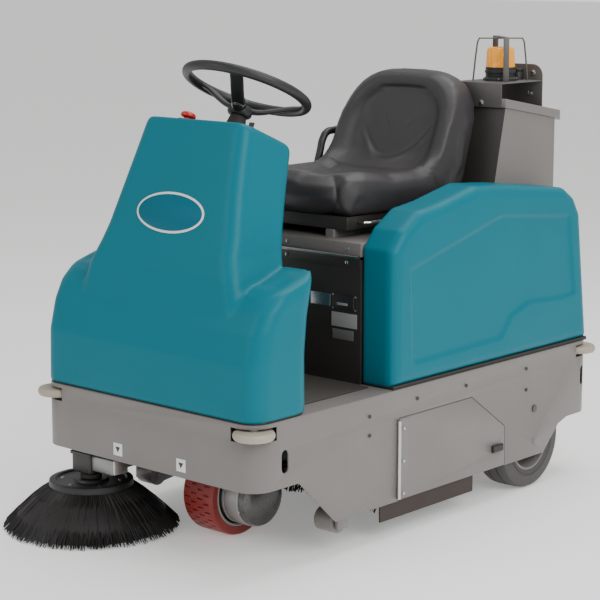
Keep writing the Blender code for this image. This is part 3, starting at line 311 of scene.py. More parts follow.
easedNodes = {
    "chassis_frame": ("greyPaint", 0.0012), "side_door_left": ("greyPaint", 0.0008),
    "side_door_right": ("greyPaint", 0.0008), "filter_housing": ("greyPaint", 0.0020),
    # the accessory bracket takes grey paint darkened as painted shade
    "housing_lid": ("greyPaint", 0.0025), "accessory_bracket": ("shadedGreyPaint", 0.0012),
    "seat_lid": ("lidPaint", 0.0020), "battery_box": ("boxPaint", 0.0016), "hopper": ("greyPaint", 0.0012),
    "seat_pan": ("darkPaint", 0.0020), "floor_mat": ("floorMat", 0.0012), "drive_fork": ("darkPaint", 0.0015),
    "brush_arm_left": ("greyPaint", 0.0012), "brush_arm_right": ("greyPaint", 0.0012),
    "dash_panel": ("blackPlastic", 0.0012), "key_switch": ("darkSteel", 0.0005),
    "beacon_guard_strap": ("shadedGreyPaint", 0.0004), "side_brush_arm": ("darkPaint", 0.0008),
    "accelerator_pedal": ("blackRubber", 0.0010), "brake_pedal": ("blackRubber", 0.0010),
}
plainNodes = {
    "battery_left": "blackPlastic", "battery_right": "blackPlastic", "door_latch_left": "blackPlastic",
    "door_latch_right": "blackPlastic", "filter_cartridge": "palePlastic", "main_brush_core": "greyPaint",
    "seat_lever": "brightSteel", "side_skirt_left": "skirtRubber", "side_skirt_right": "skirtRubber",
    "steering_column": "blackRubber", "steering_gearbox": "darkPaint", "steering_shaft": "brightSteel",
    "vacuum_fan": "darkPaint",
}
for node, finish in plainNodes.items():
    frame["nodes"][node].data.materials.clear()
    frame["nodes"][node].data.materials.append(paint[finish])
for node, (finish, ease) in easedNodes.items():
    standIn(eased(tidyCopy(node, f"{node}_sheet"), ease, 2), finish, node)
print("sheet pieces eased")

# More tools: turned shapes, swept rods, heads of bolts, rings of places, softened shells.

turnFor = {"X": (0, math.pi / 2, 0), "-X": (0, -math.pi / 2, 0), "-Y": (math.pi / 2, 0, 0),
           "Z": (0, 0, 0), "-Z": (math.pi, 0, 0)}


def turned(name, profile, place, axis="Z", steps=48, ring=False, tilt=None):
    radius, height = profile[0]
    bpy.ops.object.select_all(action="DESELECT")
    bpy.ops.mesh.primitive_circle_add(vertices=steps, radius=radius, location=(0, 0, height))
    piece = settle(bpy.context.active_object, name)
    editAll()
    for (r, z), (nextR, nextZ) in zip(profile, profile[1:]):
        bpy.ops.mesh.extrude_region_move(TRANSFORM_OT_translate={"value": (0, 0, nextZ - z)})
        bpy.ops.transform.resize(value=(nextR / r, nextR / r, 1), center_override=(0, 0, 0))
    bpy.ops.mesh.select_all(action="DESELECT")
    bpy.ops.mesh.select_non_manifold()
    if ring:
        bpy.ops.mesh.bridge_edge_loops()
    else:
        bpy.ops.mesh.fill_holes(sides=0)
    closeEdit()
    piece.rotation_euler = tilt if tilt else turnFor[axis]
    piece.location = at(*place)
    return smoothed(settle(piece, name), 40)


def swept(name, points, smooth=True, tilt=0.0, **settings):
    curve = bpy.data.curves.new(name, "CURVE")
    curve.dimensions = "3D"
    for key, value in settings.items():
        setattr(curve, key, value)
    if smooth:
        spline = curve.splines.new("BEZIER")
        spline.bezier_points.add(len(points) - 1)
        for knot, point in zip(spline.bezier_points, points):
            knot.co = point
            knot.handle_left_type = knot.handle_right_type = "AUTO"
            knot.tilt = tilt
    else:
        spline = curve.splines.new("POLY")
        spline.points.add(len(points) - 1)
        for knot, point in zip(spline.points, points):
            knot.co = (*point, 1)
    piece = bpy.data.objects.new(name, curve)
    bpy.context.scene.collection.objects.link(piece)
    only(piece)
    bpy.ops.object.convert(target="MESH")
    return bpy.context.active_object


def rod(name, points, radius, smooth=True):
    piece = swept(name, [at(*point) for point in points], smooth, bevel_depth=radius, bevel_resolution=6,
                  use_fill_caps=True, resolution_u=10)
    editAll()
    bpy.ops.mesh.remove_doubles(threshold=weldGap)
    closeEdit()
    return smoothed(settle(piece, name), 50)


def joined(name, pieces):
    bpy.ops.object.select_all(action="DESELECT")
    for piece in pieces:
        piece.select_set(True)
    bpy.context.view_layer.objects.active = pieces[0]
    bpy.ops.object.join()
    pieces[0].name = pieces[0].data.name = name
    return pieces[0]


def boltHead(name, place, axis, radius=0.0065, height=0.0045):
    disc = ((radius * 1.45, 0), (radius * 1.45, 0.0010), (radius * 1.3, 0.0016))
    hexagon = ((radius * 0.98, 0.001), (radius, height * 0.7), (radius * 0.86, height))
    washer = turned(f"{name}_washer", disc, place, axis, 20)
    head = turned(f"{name}_head", hexagon, place, axis, 6)
    return joined(name, [washer, head])


def screwHead(name, place, axis, radius=0.005):
    profile = ((radius, 0), (radius * 0.96, radius * 0.30), (radius * 0.62, radius * 0.52),
               (radius * 0.2, radius * 0.58))
    return turned(name, profile, place, axis, 16)


def heads(name, maker, places, axis, body, finish="brightSteel", slot="bright_steel", **size):
    made = [maker(f"{name}_{index}", place, axis, **size) for index, place in enumerate(places)]
    dress(joined(name, made), finish, body)


def ringOf(count, first, radius):
    turns = [math.radians(first + 360 / count * step) for step in range(count)]
    return [(radius * math.cos(turn), radius * math.sin(turn)) for turn in turns]


def softened(piece, voxel, rounds):
    modify(piece, "REMESH", mode="VOXEL", voxel_size=voxel)
    modify(piece, "SMOOTH", factor=0.5, iterations=rounds)
    only(piece)
    bpy.ops.object.shade_smooth()
    return piece


def easeStep(value, low, high):
    share = min(max((value - low) / (high - low), 0.0), 1.0)
    return share * share * (3 - 2 * share)


# Front shroud: a wide lower body and a console column, each grown section by section.

shroudLook = {
    "lower": (  # height at the front, half width, front, rear, rise towards the rear
        (0.4145, 0.4020, -0.752, -0.537, 0.00), (0.560, 0.4035, -0.747, -0.540, 0.05),
        (0.640, 0.4035, -0.727, -0.530, 0.15), (0.690, 0.4030, -0.702, -0.514, 0.25),
        (0.722, 0.3970, -0.672, -0.502, 0.28), (0.738, 0.3720, -0.640, -0.505, 0.30),
        (0.744, 0.3400, -0.605, -0.512, 0.30),
    ),
    "upper": (
        (0.660, 0.305, -0.716, -0.505, 0.0), (0.760, 0.276, -0.700, -0.486, 0.0),
        (0.810, 0.254, -0.683, -0.466, 0.0), (0.860, 0.243, -0.660, -0.451, 0.0),
        (0.960, 0.222, -0.627, -0.419, -0.124), (1.060, 0.204, -0.591, -0.389, -0.290),
        (1.137, 0.192, -0.562, -0.366, -0.414), (1.148, 0.184, -0.556, -0.371, -0.414),
    ),
    "corner": 0.046, "columnCorner": 0.8, "voxel": 0.0048, "soften": 16,
}


def grown(name, sections, corner):
    z, half, front, rear, rise = sections[0]
    bpy.ops.object.select_all(action="DESELECT")
    bpy.ops.mesh.primitive_plane_add(size=1, location=at(0, 0.5 * (front + rear), z))
    piece = bpy.context.active_object
    piece.scale = (2 * half, rear - front, 1)
    settle(piece, name)
    editAll()
    middle = home.y + 0.5 * (front + rear)
    for z, half, front, rear, rise in sections[1:]:
        bpy.ops.mesh.extrude_region_move(TRANSFORM_OT_translate={"value": (0, 0, 0.01)})
        cage = bmesh.from_edit_mesh(piece.data)
        for knot in cage.verts:
            if knot.select:
                y = front if knot.co.y < middle else rear
                knot.co = at(math.copysign(half, knot.co.x - home.x), y, z + rise * (y - front))
        middle = home.y + 0.5 * (front + rear)
        bmesh.update_edit_mesh(piece.data)
    cage = bmesh.from_edit_mesh(piece.data)
    for face in cage.faces:
        face.select = False
    for edge in cage.edges:
        run = edge.verts[1].co - edge.verts[0].co
        edge.select = abs(run.z) > 0.5 * run.length and abs(run.x) < 0.08 and abs(run.z) > 0.003
    bmesh.update_edit_mesh(piece.data)
    bpy.ops.mesh.bevel(offset=corner, segments=6, affect="EDGES", clamp_overlap=True)
    closeEdit()
    return piece


def makeShroud():
    look = shroudLook
    shell = grown("front_shroud_shell", look["lower"], look["corner"])
    column = grown("shroud_column", look["upper"], look["corner"] * look["columnCorner"])
    modify(shell, "BOOLEAN", operation="UNION", object=column, solver="EXACT")
    bpy.data.objects.remove(column)
    softened(shell, look["voxel"], look["soften"])
    standIn(shell, "tealShell", "front_shroud")


makeShroud()
print("shroud made")

coverLook = {"voxel": 0.0042, "soften": 6}
for side, _ in sides:
    cover = tidyCopy(f"side_cover_{side}", f"side_cover_{side}_shell")
    standIn(softened(cover, coverLook["voxel"], coverLook["soften"]), "tealShell", f"side_cover_{side}")
print("side covers made")

badgeLook = {
    "centre": (0.0, -0.6455, 0.906), "half": (0.125, 0.055), "lean": 18.3,
    "layers": (("badge_plate", (1.0, 1.0), 0.0016), ("badge_face", (0.95, 0.89), 0.0024)),
}


def makeBadge():
    look = badgeLook
    lean = (math.radians(90 - look["lean"]), 0, 0)
    wide, tall = look["half"]
    shapes = []
    for name, share, thick in look["layers"]:
        piece = turned(name, ((1.0, 0), (1.0, thick * 0.6), (0.985, thick)), (0, 0, 0), "Z", 72)
        piece.location = -home
        settle(piece, name)
        piece.scale = (wide * share[0], tall * share[1], 1)
        settle(piece, name)
        piece.rotation_euler = lean
        piece.location = at(*look["centre"])
        shapes.append(settle(piece, name))
    dress(shapes[0], "labelWhite", "chassis")
    dress(shapes[1], "tealDeep", "chassis")


makeBadge()


# Seat: one-piece moulded bucket in soft vinyl over a shallow pan.

seatLook = {
    "voxel": 0.006, "swell": 0.005, "shrink": 0.003, "pressure": 4.0,
    "bolster": 0.013, "panel": 0.007, "crease": 0.0055, "saddle": 0.012, "corner": 3.2,
    "crown": (0.226, 0.20, 1.05, 2.8), "border": 0.215, "pinch": 0.0035, "roll": 0.004,
    "nose": (0.232, 0.188, -0.04), "hip": 0.020, "rearRise": 0.012, "ridge": 0.010, "seam": 0.006,
}


def puffed(piece, cap):
    start = [knot.co.copy() for knot in piece.data.vertices]
    only(piece)
    cloth = piece.modifiers.new("swell", "CLOTH")
    cloth.settings.use_pressure = True
    cloth.settings.uniform_pressure_force = seatLook["pressure"]
    cloth.settings.effector_weights.gravity = 0
    cloth.point_cache.frame_start, cloth.point_cache.frame_end = 1, 20
    for step in range(1, 21):
        bpy.context.scene.frame_set(step)
    bpy.ops.object.modifier_apply(modifier=cloth.name)
    bpy.context.scene.frame_set(1)
    for knot, first in zip(piece.data.vertices, start):
        moved = knot.co - first
        if moved.length > cap:
            knot.co = first + moved * (cap / moved.length)
    return piece


def pressed(piece, shape):
    normals = [knot.normal.copy() for knot in piece.data.vertices]
    for knot, normal in zip(piece.data.vertices, normals):
        knot.co = home + shape(knot.co - home, normal)
    piece.data.update()


def narrowed(spot, normal):
    return spot - normal * seatLook["shrink"]


def groove(distance, width):
    return math.exp(-((distance / width) ** 2))


def backShape(spot, normal):
    look = seatLook
    x, y, z = spot
    beside = abs(x)
    wide, tall, spring, power = look["crown"]
    facing = easeStep(-normal.y, 0.15, 0.65)
    reach = ((beside / wide) ** power + (max(z - spring, 0) / tall) ** power) ** (1 / power)
    inward = (1 - reach) * look["border"]
    upper = easeStep(z, 0.945, 1.03)
    push = look["bolster"] * groove(inward - 0.036, 0.024)
    push -= look["panel"] * easeStep(inward, 0.055, 0.080) * upper
    push += 0.016 * (1 - upper)
    push += 0.018 * easeStep(beside, 0.09, 0.22) * (1 - easeStep(z, 1.05, 1.20))  # side wings
    if beside < 0.105:
        topSeam = groove(z - 1.186 + 0.25 * x * x, 0.0045)
        push -= look["crease"] * 0.8 * topSeam * (1 - easeStep(beside, 0.07, 0.10))
    smile = 0.990 + 0.085 * (beside / 0.125) ** 2.2  # the curved crease above the lower roll
    inSmile = 1 - easeStep(beside, 0.11, 0.145)
    push -= look["crease"] * groove(z - smile, 0.0055) * inSmile
    push += look["roll"] * groove(z - smile + 0.014, 0.010) * inSmile
    for side in (-1, 1):
        line = (z - 1.085) - side * (x - side * 0.043) * 1.1
        along = (z - 1.085) * 0.7 + side * (x - side * 0.043) * 0.7
        push -= look["pinch"] * math.exp(-((line / 0.005) ** 2) - (along / 0.015) ** 2)
    return Vector((x, y - push * facing, z + 0.15 * push * facing))


def cushionShape(spot, normal):
    look = seatLook
    x, y, z = spot
    wide, deep, noseStart = look["nose"]
    beside, ahead = abs(x) / wide, max(noseStart - y, 0) / deep
    rounding = 1.0
    if ahead > 0.01:
        corner = look["corner"]
        rounding = max(beside, ahead) / (beside ** corner + ahead ** corner) ** (1 / corner)
    facing = easeStep(normal.z, 0.1, 0.7)
    fore = easeStep(y, -0.21, -0.08)
    lift = look["hip"] * groove(abs(x) - 0.180, 0.036) * fore
    lift -= (look["saddle"] * (1 - easeStep(abs(x), 0.06, 0.15)) * easeStep(y, -0.13, 0.02)
             * (1 - easeStep(y, 0.08, 0.18)))
    lift += look["rearRise"] * easeStep(y, 0.13, 0.20)
    lift += look["ridge"] * (1 - easeStep(abs(x), 0.02, 0.07)) * (1 - easeStep(y, -0.17, -0.06))
    lift -= look["seam"] * groove(abs(x) - 0.135, 0.007) * fore
    lift -= look["seam"] * groove(y + 0.075 + 0.35 * x * x, 0.012) * (1 - easeStep(abs(x), 0.10, 0.15))
    return Vector((x * rounding, y + (1 - rounding) * ahead * deep, z + lift * facing))


def makePad(node, name, shape):
    pad = tidyCopy(node, name)
    modify(pad, "REMESH", mode="VOXEL", voxel_size=seatLook["voxel"])
    modify(pad, "SMOOTH", factor=0.5, iterations=14)
    pressed(pad, narrowed)
    puffed(pad, seatLook["swell"])
    modify(pad, "SMOOTH", factor=0.5, iterations=12)
    pressed(pad, shape)
    modify(pad, "SMOOTH", factor=0.4, iterations=2)
    modify(pad, "SUBSURF", levels=1, render_levels=1)
    only(pad)
    bpy.ops.object.shade_smooth()
    standIn(pad, "seatVinyl", node)


makePad("seat_backrest", "seat_backrest_pad", backShape)
makePad("seat_cushion", "seat_cushion_pad", cushionShape)
hipBarLook = {
    "radius": 0.0115,
    "path": ((-0.205, 0.190, 0.850), (-0.235, 0.190, 0.851), (-0.2475, 0.196, 0.866), (-0.249, 0.214, 0.930),
             (-0.249, 0.234, 0.990), (-0.249, 0.243, 1.018), (-0.249, 0.262, 1.040), (-0.249, 0.300, 1.0455),
             (-0.249, 0.372, 1.047)),
}
standIn(rod("hip_bar_tube", hipBarLook["path"], hipBarLook["radius"]), "blackPlastic", "hip_bar")
print("seat made")

# Steering wheel: round rim, three dished spokes, a boss and a glossy knob.

wheelLook = {
    "centre": (0.0, -0.352, 1.214), "tilt": 24.8, "radius": 0.169, "rim": 0.0135,
    "spokes": (60, 180, 300), "spokeHalf": 0.0125, "spokeThick": 0.0062, "dish": 0.056,
    "knob": (0.016, -0.028, -0.052),
}


def onWheel(x, y, z):
    lean = math.radians(wheelLook["tilt"])
    cx, cy, cz = wheelLook["centre"]
    return (cx + x, cy + y * math.cos(lean) + z * math.sin(lean),
            cz - y * math.sin(lean) + z * math.cos(lean))


def makeSteeringWheel():
    look = wheelLook
    lean = (-math.radians(look["tilt"]), 0, 0)
    bpy.ops.object.select_all(action="DESELECT")
    bpy.ops.mesh.primitive_torus_add(
        location=at(*look["centre"]), rotation=lean, major_radius=look["radius"], minor_radius=look["rim"],
        major_segments=96, minor_segments=20,
    )
    parts = [smoothed(settle(bpy.context.active_object, "steering_rim"), 60)]
    dish = look["dish"]
    path = ((0.016, 0, -dish), (0.040, 0, -dish * 0.96), (0.085, 0, -dish * 0.62), (0.125, 0, -dish * 0.24),
            (look["radius"] - 0.006, 0, 0.002))
    for angle in look["spokes"]:
        spoke = swept("spoke", path, tilt=math.pi / 2, extrude=look["spokeHalf"],
                      bevel_depth=look["spokeThick"], bevel_resolution=3)
        spoke.rotation_euler = (0, 0, math.radians(angle))
        settle(spoke, f"spoke_{angle}")
        spoke.rotation_euler = lean
        spoke.location = at(*look["centre"])
        parts.append(smoothed(settle(spoke, f"spoke_{angle}"), 50))
    boss = turned("wheel_boss", ((0.020, -0.080), (0.030, -0.078), (0.034, -0.072), (0.034, -0.060),
                                 (0.028, -0.049), (0.016, -0.046)), look["centre"], steps=40, tilt=lean)
    standIn(joined("steering_wheel_rim", parts + [boss]), "blackPlastic", "steering_wheel")
    knob = turned("wheel_cap", ((0.0060, -0.0218), (0.0140, -0.0168), (0.0196, -0.0095), (0.0218, 0.0),
                                (0.0196, 0.0095), (0.0140, 0.0168), (0.0060, 0.0210)),
                  onWheel(*look["knob"]), steps=40, tilt=lean)
    dress(knob, "glossBlack", "handwheel")


makeSteeringWheel()
print("steering wheel made")

# Side brush: a clamp ring, splayed filament over a dark core, and the motor above.

sideBrushLook = {
    "centre": (-0.3055, -0.668), "root": (0.104, 0.120), "tip": 0.2425, "rootZ": 0.116,
    "strands": 2000, "thick": 0.0018, "belly": 0.009, "seed": 7, "screws": (6, 35, 0.082), "screwZ": 0.1312,
}


def strandTemplate(segments=4, taper=0.86):
    bpy.ops.object.select_all(action="DESELECT")
    bpy.ops.mesh.primitive_circle_add(vertices=4, radius=1, fill_type="NGON")
    strand = bpy.context.active_object
    editAll()
    for step in range(segments):
        bpy.ops.mesh.extrude_region_move(TRANSFORM_OT_translate={"value": (0, 0, 1 / segments)})
        bpy.ops.transform.resize(value=(taper, taper, 1), center_override=(0, 0, 0))
    closeEdit()
    spots = [tuple(knot.co) for knot in strand.data.vertices]
    faces = [tuple(face.vertices) for face in strand.data.polygons]
    bpy.data.objects.remove(strand)
    return spots, faces


strandSpots, strandFaces = strandTemplate()


def strandsMesh(name, paths, thick):
    # a path is a function from 0..1 to a place; one copy of the strand is laid along each
    spots, faces = [], []
    for path, width in paths:
        base = len(spots)
        for x, y, z in strandSpots:
            here, ahead = path(z), path(min(z + 0.05, 1.05))
            run = (ahead - here).normalized()
            across = run.cross(Vector((0, 0, 1))) if abs(run.z) < 0.95 else run.cross(Vector((1, 0, 0)))
            across.normalize()
            spots.append(here + (across * x + run.cross(across) * y) * thick * width)
        faces += [tuple(base + index for index in face) for face in strandFaces]
    mesh = bpy.data.meshes.new(name)
    mesh.from_pydata(spots, [], faces)
    piece = bpy.data.objects.new(name, mesh)
    bpy.context.scene.collection.objects.link(piece)
    only(piece)
    editAll()
    closeEdit()
    return smoothed(piece, 60)


def makeSideBrush():
    look = sideBrushLook
    cx, cy = look["centre"]
    chance = random.Random(look["seed"])
    paths = []
    for index in range(look["strands"]):
        angle = 2 * math.pi * (index + chance.random()) / look["strands"]
        lean = angle + chance.uniform(-0.05, 0.05)
        root = chance.uniform(*look["root"])
        tip = look["tip"] * chance.uniform(0.90, 1.018)
        foot = chance.uniform(0.001, 0.010) + (look["tip"] - tip) * 0.35
        belly = look["belly"] * chance.uniform(0.5, 1.2)

        def path(share, angle=angle, lean=lean, root=root, tip=tip, foot=foot, belly=belly):
            turn = angle + (lean - angle) * share
            out = root + (tip - root) * share
            drop = look["rootZ"] + (foot - look["rootZ"]) * share + belly * 4 * share * (1 - share)
            return at(cx + out * math.cos(turn), cy + out * math.sin(turn), drop)

        paths.append((path, chance.uniform(0.8, 1.5)))
    standIn(strandsMesh("side_brush_filament", paths, look["thick"]), "bristleBlack", "side_brush_bristles")
    core = turned("side_brush_core", ((0.112, 0.114), (0.160, 0.088), (0.205, 0.048), (0.226, 0.014),
                                      (0.218, 0.006), (0.150, 0.050), (0.090, 0.100)),
                  (cx, cy, 0), steps=96, ring=True)
    dress(core, "bristleBlack", "side_brush_disc")
    plate = turned("side_brush_clamp", ((0.060, 0.1135), (0.112, 0.1135), (0.1175, 0.116), (0.118, 0.128),
                                        (0.1165, 0.1345), (0.110, 0.137), (0.100, 0.1365), (0.096, 0.1315),
                                        (0.050, 0.1310), (0.046, 0.137), (0.030, 0.137)), (cx, cy, 0), steps=64)
    standIn(plate, "blackPlastic", "side_brush_plate")
    spots = [(cx + across, cy + along, look["screwZ"]) for across, along in ringOf(*look["screws"])]
    heads("side_brush_screws", screwHead, spots, "Z", "side_brush_disc", radius=0.006)


makeSideBrush()
motorLook = {
    "case": ((-0.3455, -0.704, 0.1545), (-0.2695, -0.632, 0.221)), "lip": 0.003, "lipZ": (-0.016, -0.006),
    "gearbox": ((-0.2725, -0.697, 0.166), (-0.186, -0.639, 0.2115)),
    "gearEnd": ((-0.188, -0.694, 0.168), (-0.1815, -0.642, 0.2095)),
}


def makeBrushMotor():
    look = motorLook
    low, high = look["case"]
    lip, (under, over) = look["lip"], look["lipZ"]
    case = block("side_brush_motor_case", low, high, 0.006)
    plate = block("side_brush_motor_cap", (low[0] - lip, low[1] - lip, high[2] + under),
                  (high[0] + lip, high[1] + lip, high[2] + over))
    hub = turned("side_brush_motor_hub", ((0.024, 0.1375), (0.030, 0.139), (0.030, 0.150), (0.022, 0.156)),
                 (*sideBrushLook["centre"], 0), steps=32)
    standIn(joined("side_brush_motor_body", [case, plate, hub]), "darkSteel", "side_brush_motor")
    gear = block("side_brush_gearbox", *look["gearbox"], 0.005)
    dress(gear, "castSteel", "side_brush_lifter")
    dress(block("side_brush_gear_end", *look["gearEnd"]), "brightSteel", "side_brush_lifter")


makeBrushMotor()
print("side brush made")

# Main brush under the chassis: a tube with winding rows of filament.

mainBrushLook = {
    "centre": (-0.04, 0.131), "half": 0.298, "core": 0.070, "tip": 0.129, "rows": 8, "perRow": 120,
    "twist": 1.3, "thick": 0.0024, "seed": 11,
    "tube": ((0.0560, -0.299), (0.070, -0.299), (0.070, 0.299), (0.0560, 0.299)),
}


def makeMainBrush():
    look = mainBrushLook
    cy, cz = look["centre"]
    chance = random.Random(look["seed"])
    paths = []
    for row in range(look["rows"]):
        for step in range(look["perRow"]):
            share = (step + chance.random()) / look["perRow"]
            x = look["half"] * (2 * share - 1) * 0.985
            turn = 2 * math.pi * row / look["rows"] + look["twist"] * abs(2 * share - 1)
            spread = chance.uniform(-0.10, 0.10)
            tip = look["tip"] * chance.uniform(0.95, 1.0)

            def path(run, x=x, turn=turn, spread=spread, tip=tip):
                out = look["core"] * 0.9 + (tip - look["core"] * 0.9) * run
                here = turn + spread * run
                return at(x, cy + out * math.cos(here), cz + out * math.sin(here))

            paths.append((path, chance.uniform(1.2, 2.0)))
    standIn(turned("main_brush_tube", look["tube"], (0, cy, cz), "X", 40, ring=True), "darkPaint", "main_brush")
    strands = strandsMesh("main_brush_filament", paths, look["thick"])
    dress(strands, "bristleBlack", "main_brush_drum")


makeMainBrush()

# Rear wheels: solid tyres on bolted steel hubs.

rearLook = {"y": 0.462, "z": 0.145, "x": (0.287, 0.391), "radius": 0.145, "nuts": (5, 90, 0.048), "dish": 0.042}


def makeRearWheel(side, sign):
    look = rearLook
    middle = sign * 0.5 * sum(look["x"])
    place = (middle, look["y"], look["z"])
    half = 0.5 * (look["x"][1] - look["x"][0])
    axis = "X" if sign > 0 else "-X"
    r = look["radius"]
    tyre = turned(f"rear_tyre_{side}_tread", (
        (0.0905, -half + 0.004), (0.100, -half), (r - 0.016, -half), (r - 0.006, -half + 0.004),
        (r - 0.0012, -half + 0.014), (r, -0.024), (r, -0.019), (r - 0.004, -0.0180), (r - 0.004, -0.0150),
        (r, -0.014), (r, 0.014), (r - 0.004, 0.0150), (r - 0.004, 0.0180), (r, 0.019), (r, 0.024),
        (r - 0.0012, half - 0.014), (r - 0.006, half - 0.004), (r - 0.016, half), (0.108, half),
        (0.1060, half - 0.003), (0.102, half - 0.003), (0.100, half), (0.0905, half - 0.004)),
        place, axis, 72, ring=True)
    standIn(tyre, "greyTyre", f"rear_tyre_{side}")
    hub = turned(f"rear_hub_{side}_dish", (
        (0.030, half - 0.042), (0.060, half - 0.042), (0.070, half - 0.038), (0.078, half - 0.012),
        (0.084, half - 0.003), (0.090, half - 0.004), (0.090, -half + 0.006), (0.080, -half + 0.006),
        (0.074, half - 0.050), (0.030, half - 0.052)), place, axis, 56, ring=True)
    cap = turned(f"rear_hub_{side}_cap", (
        (0.034, half - 0.047), (0.034, half - 0.020), (0.031, half - 0.014), (0.026, half - 0.012),
        (0.022, half - 0.006), (0.010, half - 0.004)), place, axis, 40)
    standIn(joined(f"rear_hub_{side}_steel", [hub, cap]), "greyPaint", f"rear_hub_{side}")
    face = sign * (abs(middle) + half - look["dish"])
    spots = [(face, look["y"] + along, look["z"] + up) for along, up in ringOf(*look["nuts"])]
    heads(f"rear_wheel_{side}_nuts", boltHead, spots, axis, f"rear_wheel_{side}", radius=0.0085, height=0.009)


for side, sign in sides:
    makeRearWheel(side, sign)
print("rear wheels made")

# Drive wheel: grooved red tread on a cast rim, with the motor's casing on its near side.

driveLook = {
    "centre": (0.0165, -0.456, 0.119), "radius": 0.119, "half": 0.055,
    "grooves": 30, "rows": 4, "rowGap": 0.0235, "groove": (0.0185, 0.009, 0.0042),
}


def makeDriveWheel():
    look = driveLook
    r, half = look["radius"], look["half"]
    cx, cy, cz = look["centre"]
    tread = turned("drive_tyre_tread", (
        (0.094, -half), (r - 0.007, -half), (r - 0.002, -half + 0.003), (r, -half + 0.009), (r, half - 0.009),
        (r - 0.002, half - 0.003), (r - 0.007, half), (0.094, half)), look["centre"], "X", 112, ring=True)
    cutters = []
    for row in range(look["rows"]):
        x = cx + (row - 0.5 * (look["rows"] - 1)) * look["rowGap"]
        for step in range(look["grooves"]):
            turn = 2 * math.pi * (step + 0.5 * (row % 2)) / look["grooves"]
            spot = at(x, cy + r * math.cos(turn), cz + r * math.sin(turn))
            bpy.ops.mesh.primitive_cube_add(size=1, location=spot, rotation=(turn, 0, 0), scale=look["groove"])
            cutters.append(bpy.context.active_object)
    cutter = settle(joined("grooves", cutters), "grooves")
    modify(tread, "BOOLEAN", operation="DIFFERENCE", object=cutter, solver="EXACT")
    bpy.data.objects.remove(cutter)
    standIn(smoothed(tread, 30), "redTyre", "drive_tyre")
    rim = turned("drive_rim_casting", (
        (0.0935, -half + 0.001), (0.0935, half - 0.001), (0.0895, half), (0.0855, half - 0.002),
        (0.0850, half - 0.010), (0.0850, -half + 0.010), (0.0855, -half + 0.002), (0.0895, -half)),
        look["centre"], "X", 72, ring=True)
    web = turned("drive_rim_web", (
        (0.086, -half + 0.016), (0.030, -half + 0.012), (0.030, -half + 0.006), (0.086, -half + 0.008)),
        look["centre"], "X", 56, ring=True)
    standIn(joined("drive_rim_cast", [rim, web]), "castSteel", "drive_rim")


makeDriveWheel()
driveMotorLook = {"radius": 0.0815, "end": 0.146, "screws": (6, 20, 0.078), "screwX": 0.1165}


def makeDriveMotor():
    cx, cy, cz = driveLook["centre"]
    look = driveMotorLook
    r, end = look["radius"], look["end"]
    casing = turned("drive_motor_casing", (
        (0.050, 0.0), (r - 0.004, 0.002), (r - 0.004, 0.050), (r, 0.056), (r, 0.062), (r - 0.003, 0.0635),
        (r - 0.003, 0.0665), (r, 0.068), (r, 0.114), (r - 0.002, 0.116), (r - 0.006, 0.1165)),
        (cx, cy, cz), "X", 72)
    standIn(casing, "castSteel", "drive_motor")
    cap = turned("drive_motor_cap", (
        (r - 0.006, 0.1170), (r - 0.0015, 0.1180), (r - 0.0015, 0.126), (r - 0.006, 0.136),
        (r - 0.018, end - 0.005), (r - 0.034, end - 0.002), (0.016, end - 0.001), (0.004, end - 0.001)),
        (cx, cy, cz), "X", 72)
    dress(cap, "motorCap", "fork")
    spots = [(cx + look["screwX"], cy + along, cz + up) for along, up in ringOf(*look["screws"])]
    heads("drive_motor_screws", screwHead, spots, "X", "fork", radius=0.004)


makeDriveMotor()
print("drive wheel made")

# Seat box: hinge line, plain plates and fasteners. Each plate is x low, x high, z low, z high, finish.

boxLook = {
    "face": -0.2100, "hinge": (-0.2155, 0.7650, 0.0045),
    "plates": (
        ("meter_plate", 0.108, 0.179, 0.619, 0.654, "brightSteel"),
        ("socket_plate", 0.186, 0.274, 0.613, 0.658, "blackPlastic"),
        ("plain_label", 0.184, 0.275, 0.566, 0.606, "labelGrey"),
        ("lower_label", 0.188, 0.263, 0.531, 0.559, "labelDim"),
    ),
    "screwsX": (-0.240, 0.019, 0.240),
    "screwRows": (("hinge_screws_lower", -0.2129, 0.748, "chassis"),
                  ("hinge_screws_upper", -0.2105, 0.785, "lid")),
}


def makeBoxTrim():
    look = boxLook
    face = look["face"]
    for name, left, right, low, high, finish in look["plates"]:
        plate = block(name, (left, face - 0.0016, low), (right, face, high), 0.0005)
        dress(plate, finish, "chassis")
    left, right, low, high = look["plates"][1][1:5]  # the socket plate carries a raised rim, a bar and screws
    rim = block("socket_rim", (left + 0.008, face - 0.0042, low + 0.006),
                (right - 0.008, face - 0.001, high - 0.006), 0.0025)
    bar = block("socket_bar", (left + 0.020, face - 0.0052, low + 0.014),
                (right - 0.030, face - 0.001, high - 0.024), 0.001)
    dress(rim, "blackPlastic", "chassis")
    dress(bar, "labelGrey", "chassis")
    inset = 0.004
    corners = [(x, face - 0.0016, z) for x in (left + inset, right - inset) for z in (low + inset, high - inset)]
    heads("socket_screws", screwHead, corners, "-Y", "chassis", radius=0.0028)
    y, z, radius = look["hinge"]
    pin = rod("lid_hinge_rod", ((-0.284, y, z), (0.284, y, z)), radius, smooth=False)
    dress(pin, "brightSteel", "chassis")
    for name, y, z, body in look["screwRows"]:
        heads(name, screwHead, [(x, y, z) for x in look["screwsX"]], "-Y", body, radius=0.0055)


makeBoxTrim()

# Chassis trim: side bolts, door hinge rods, corner rollers, plain stickers, rubber gaskets.

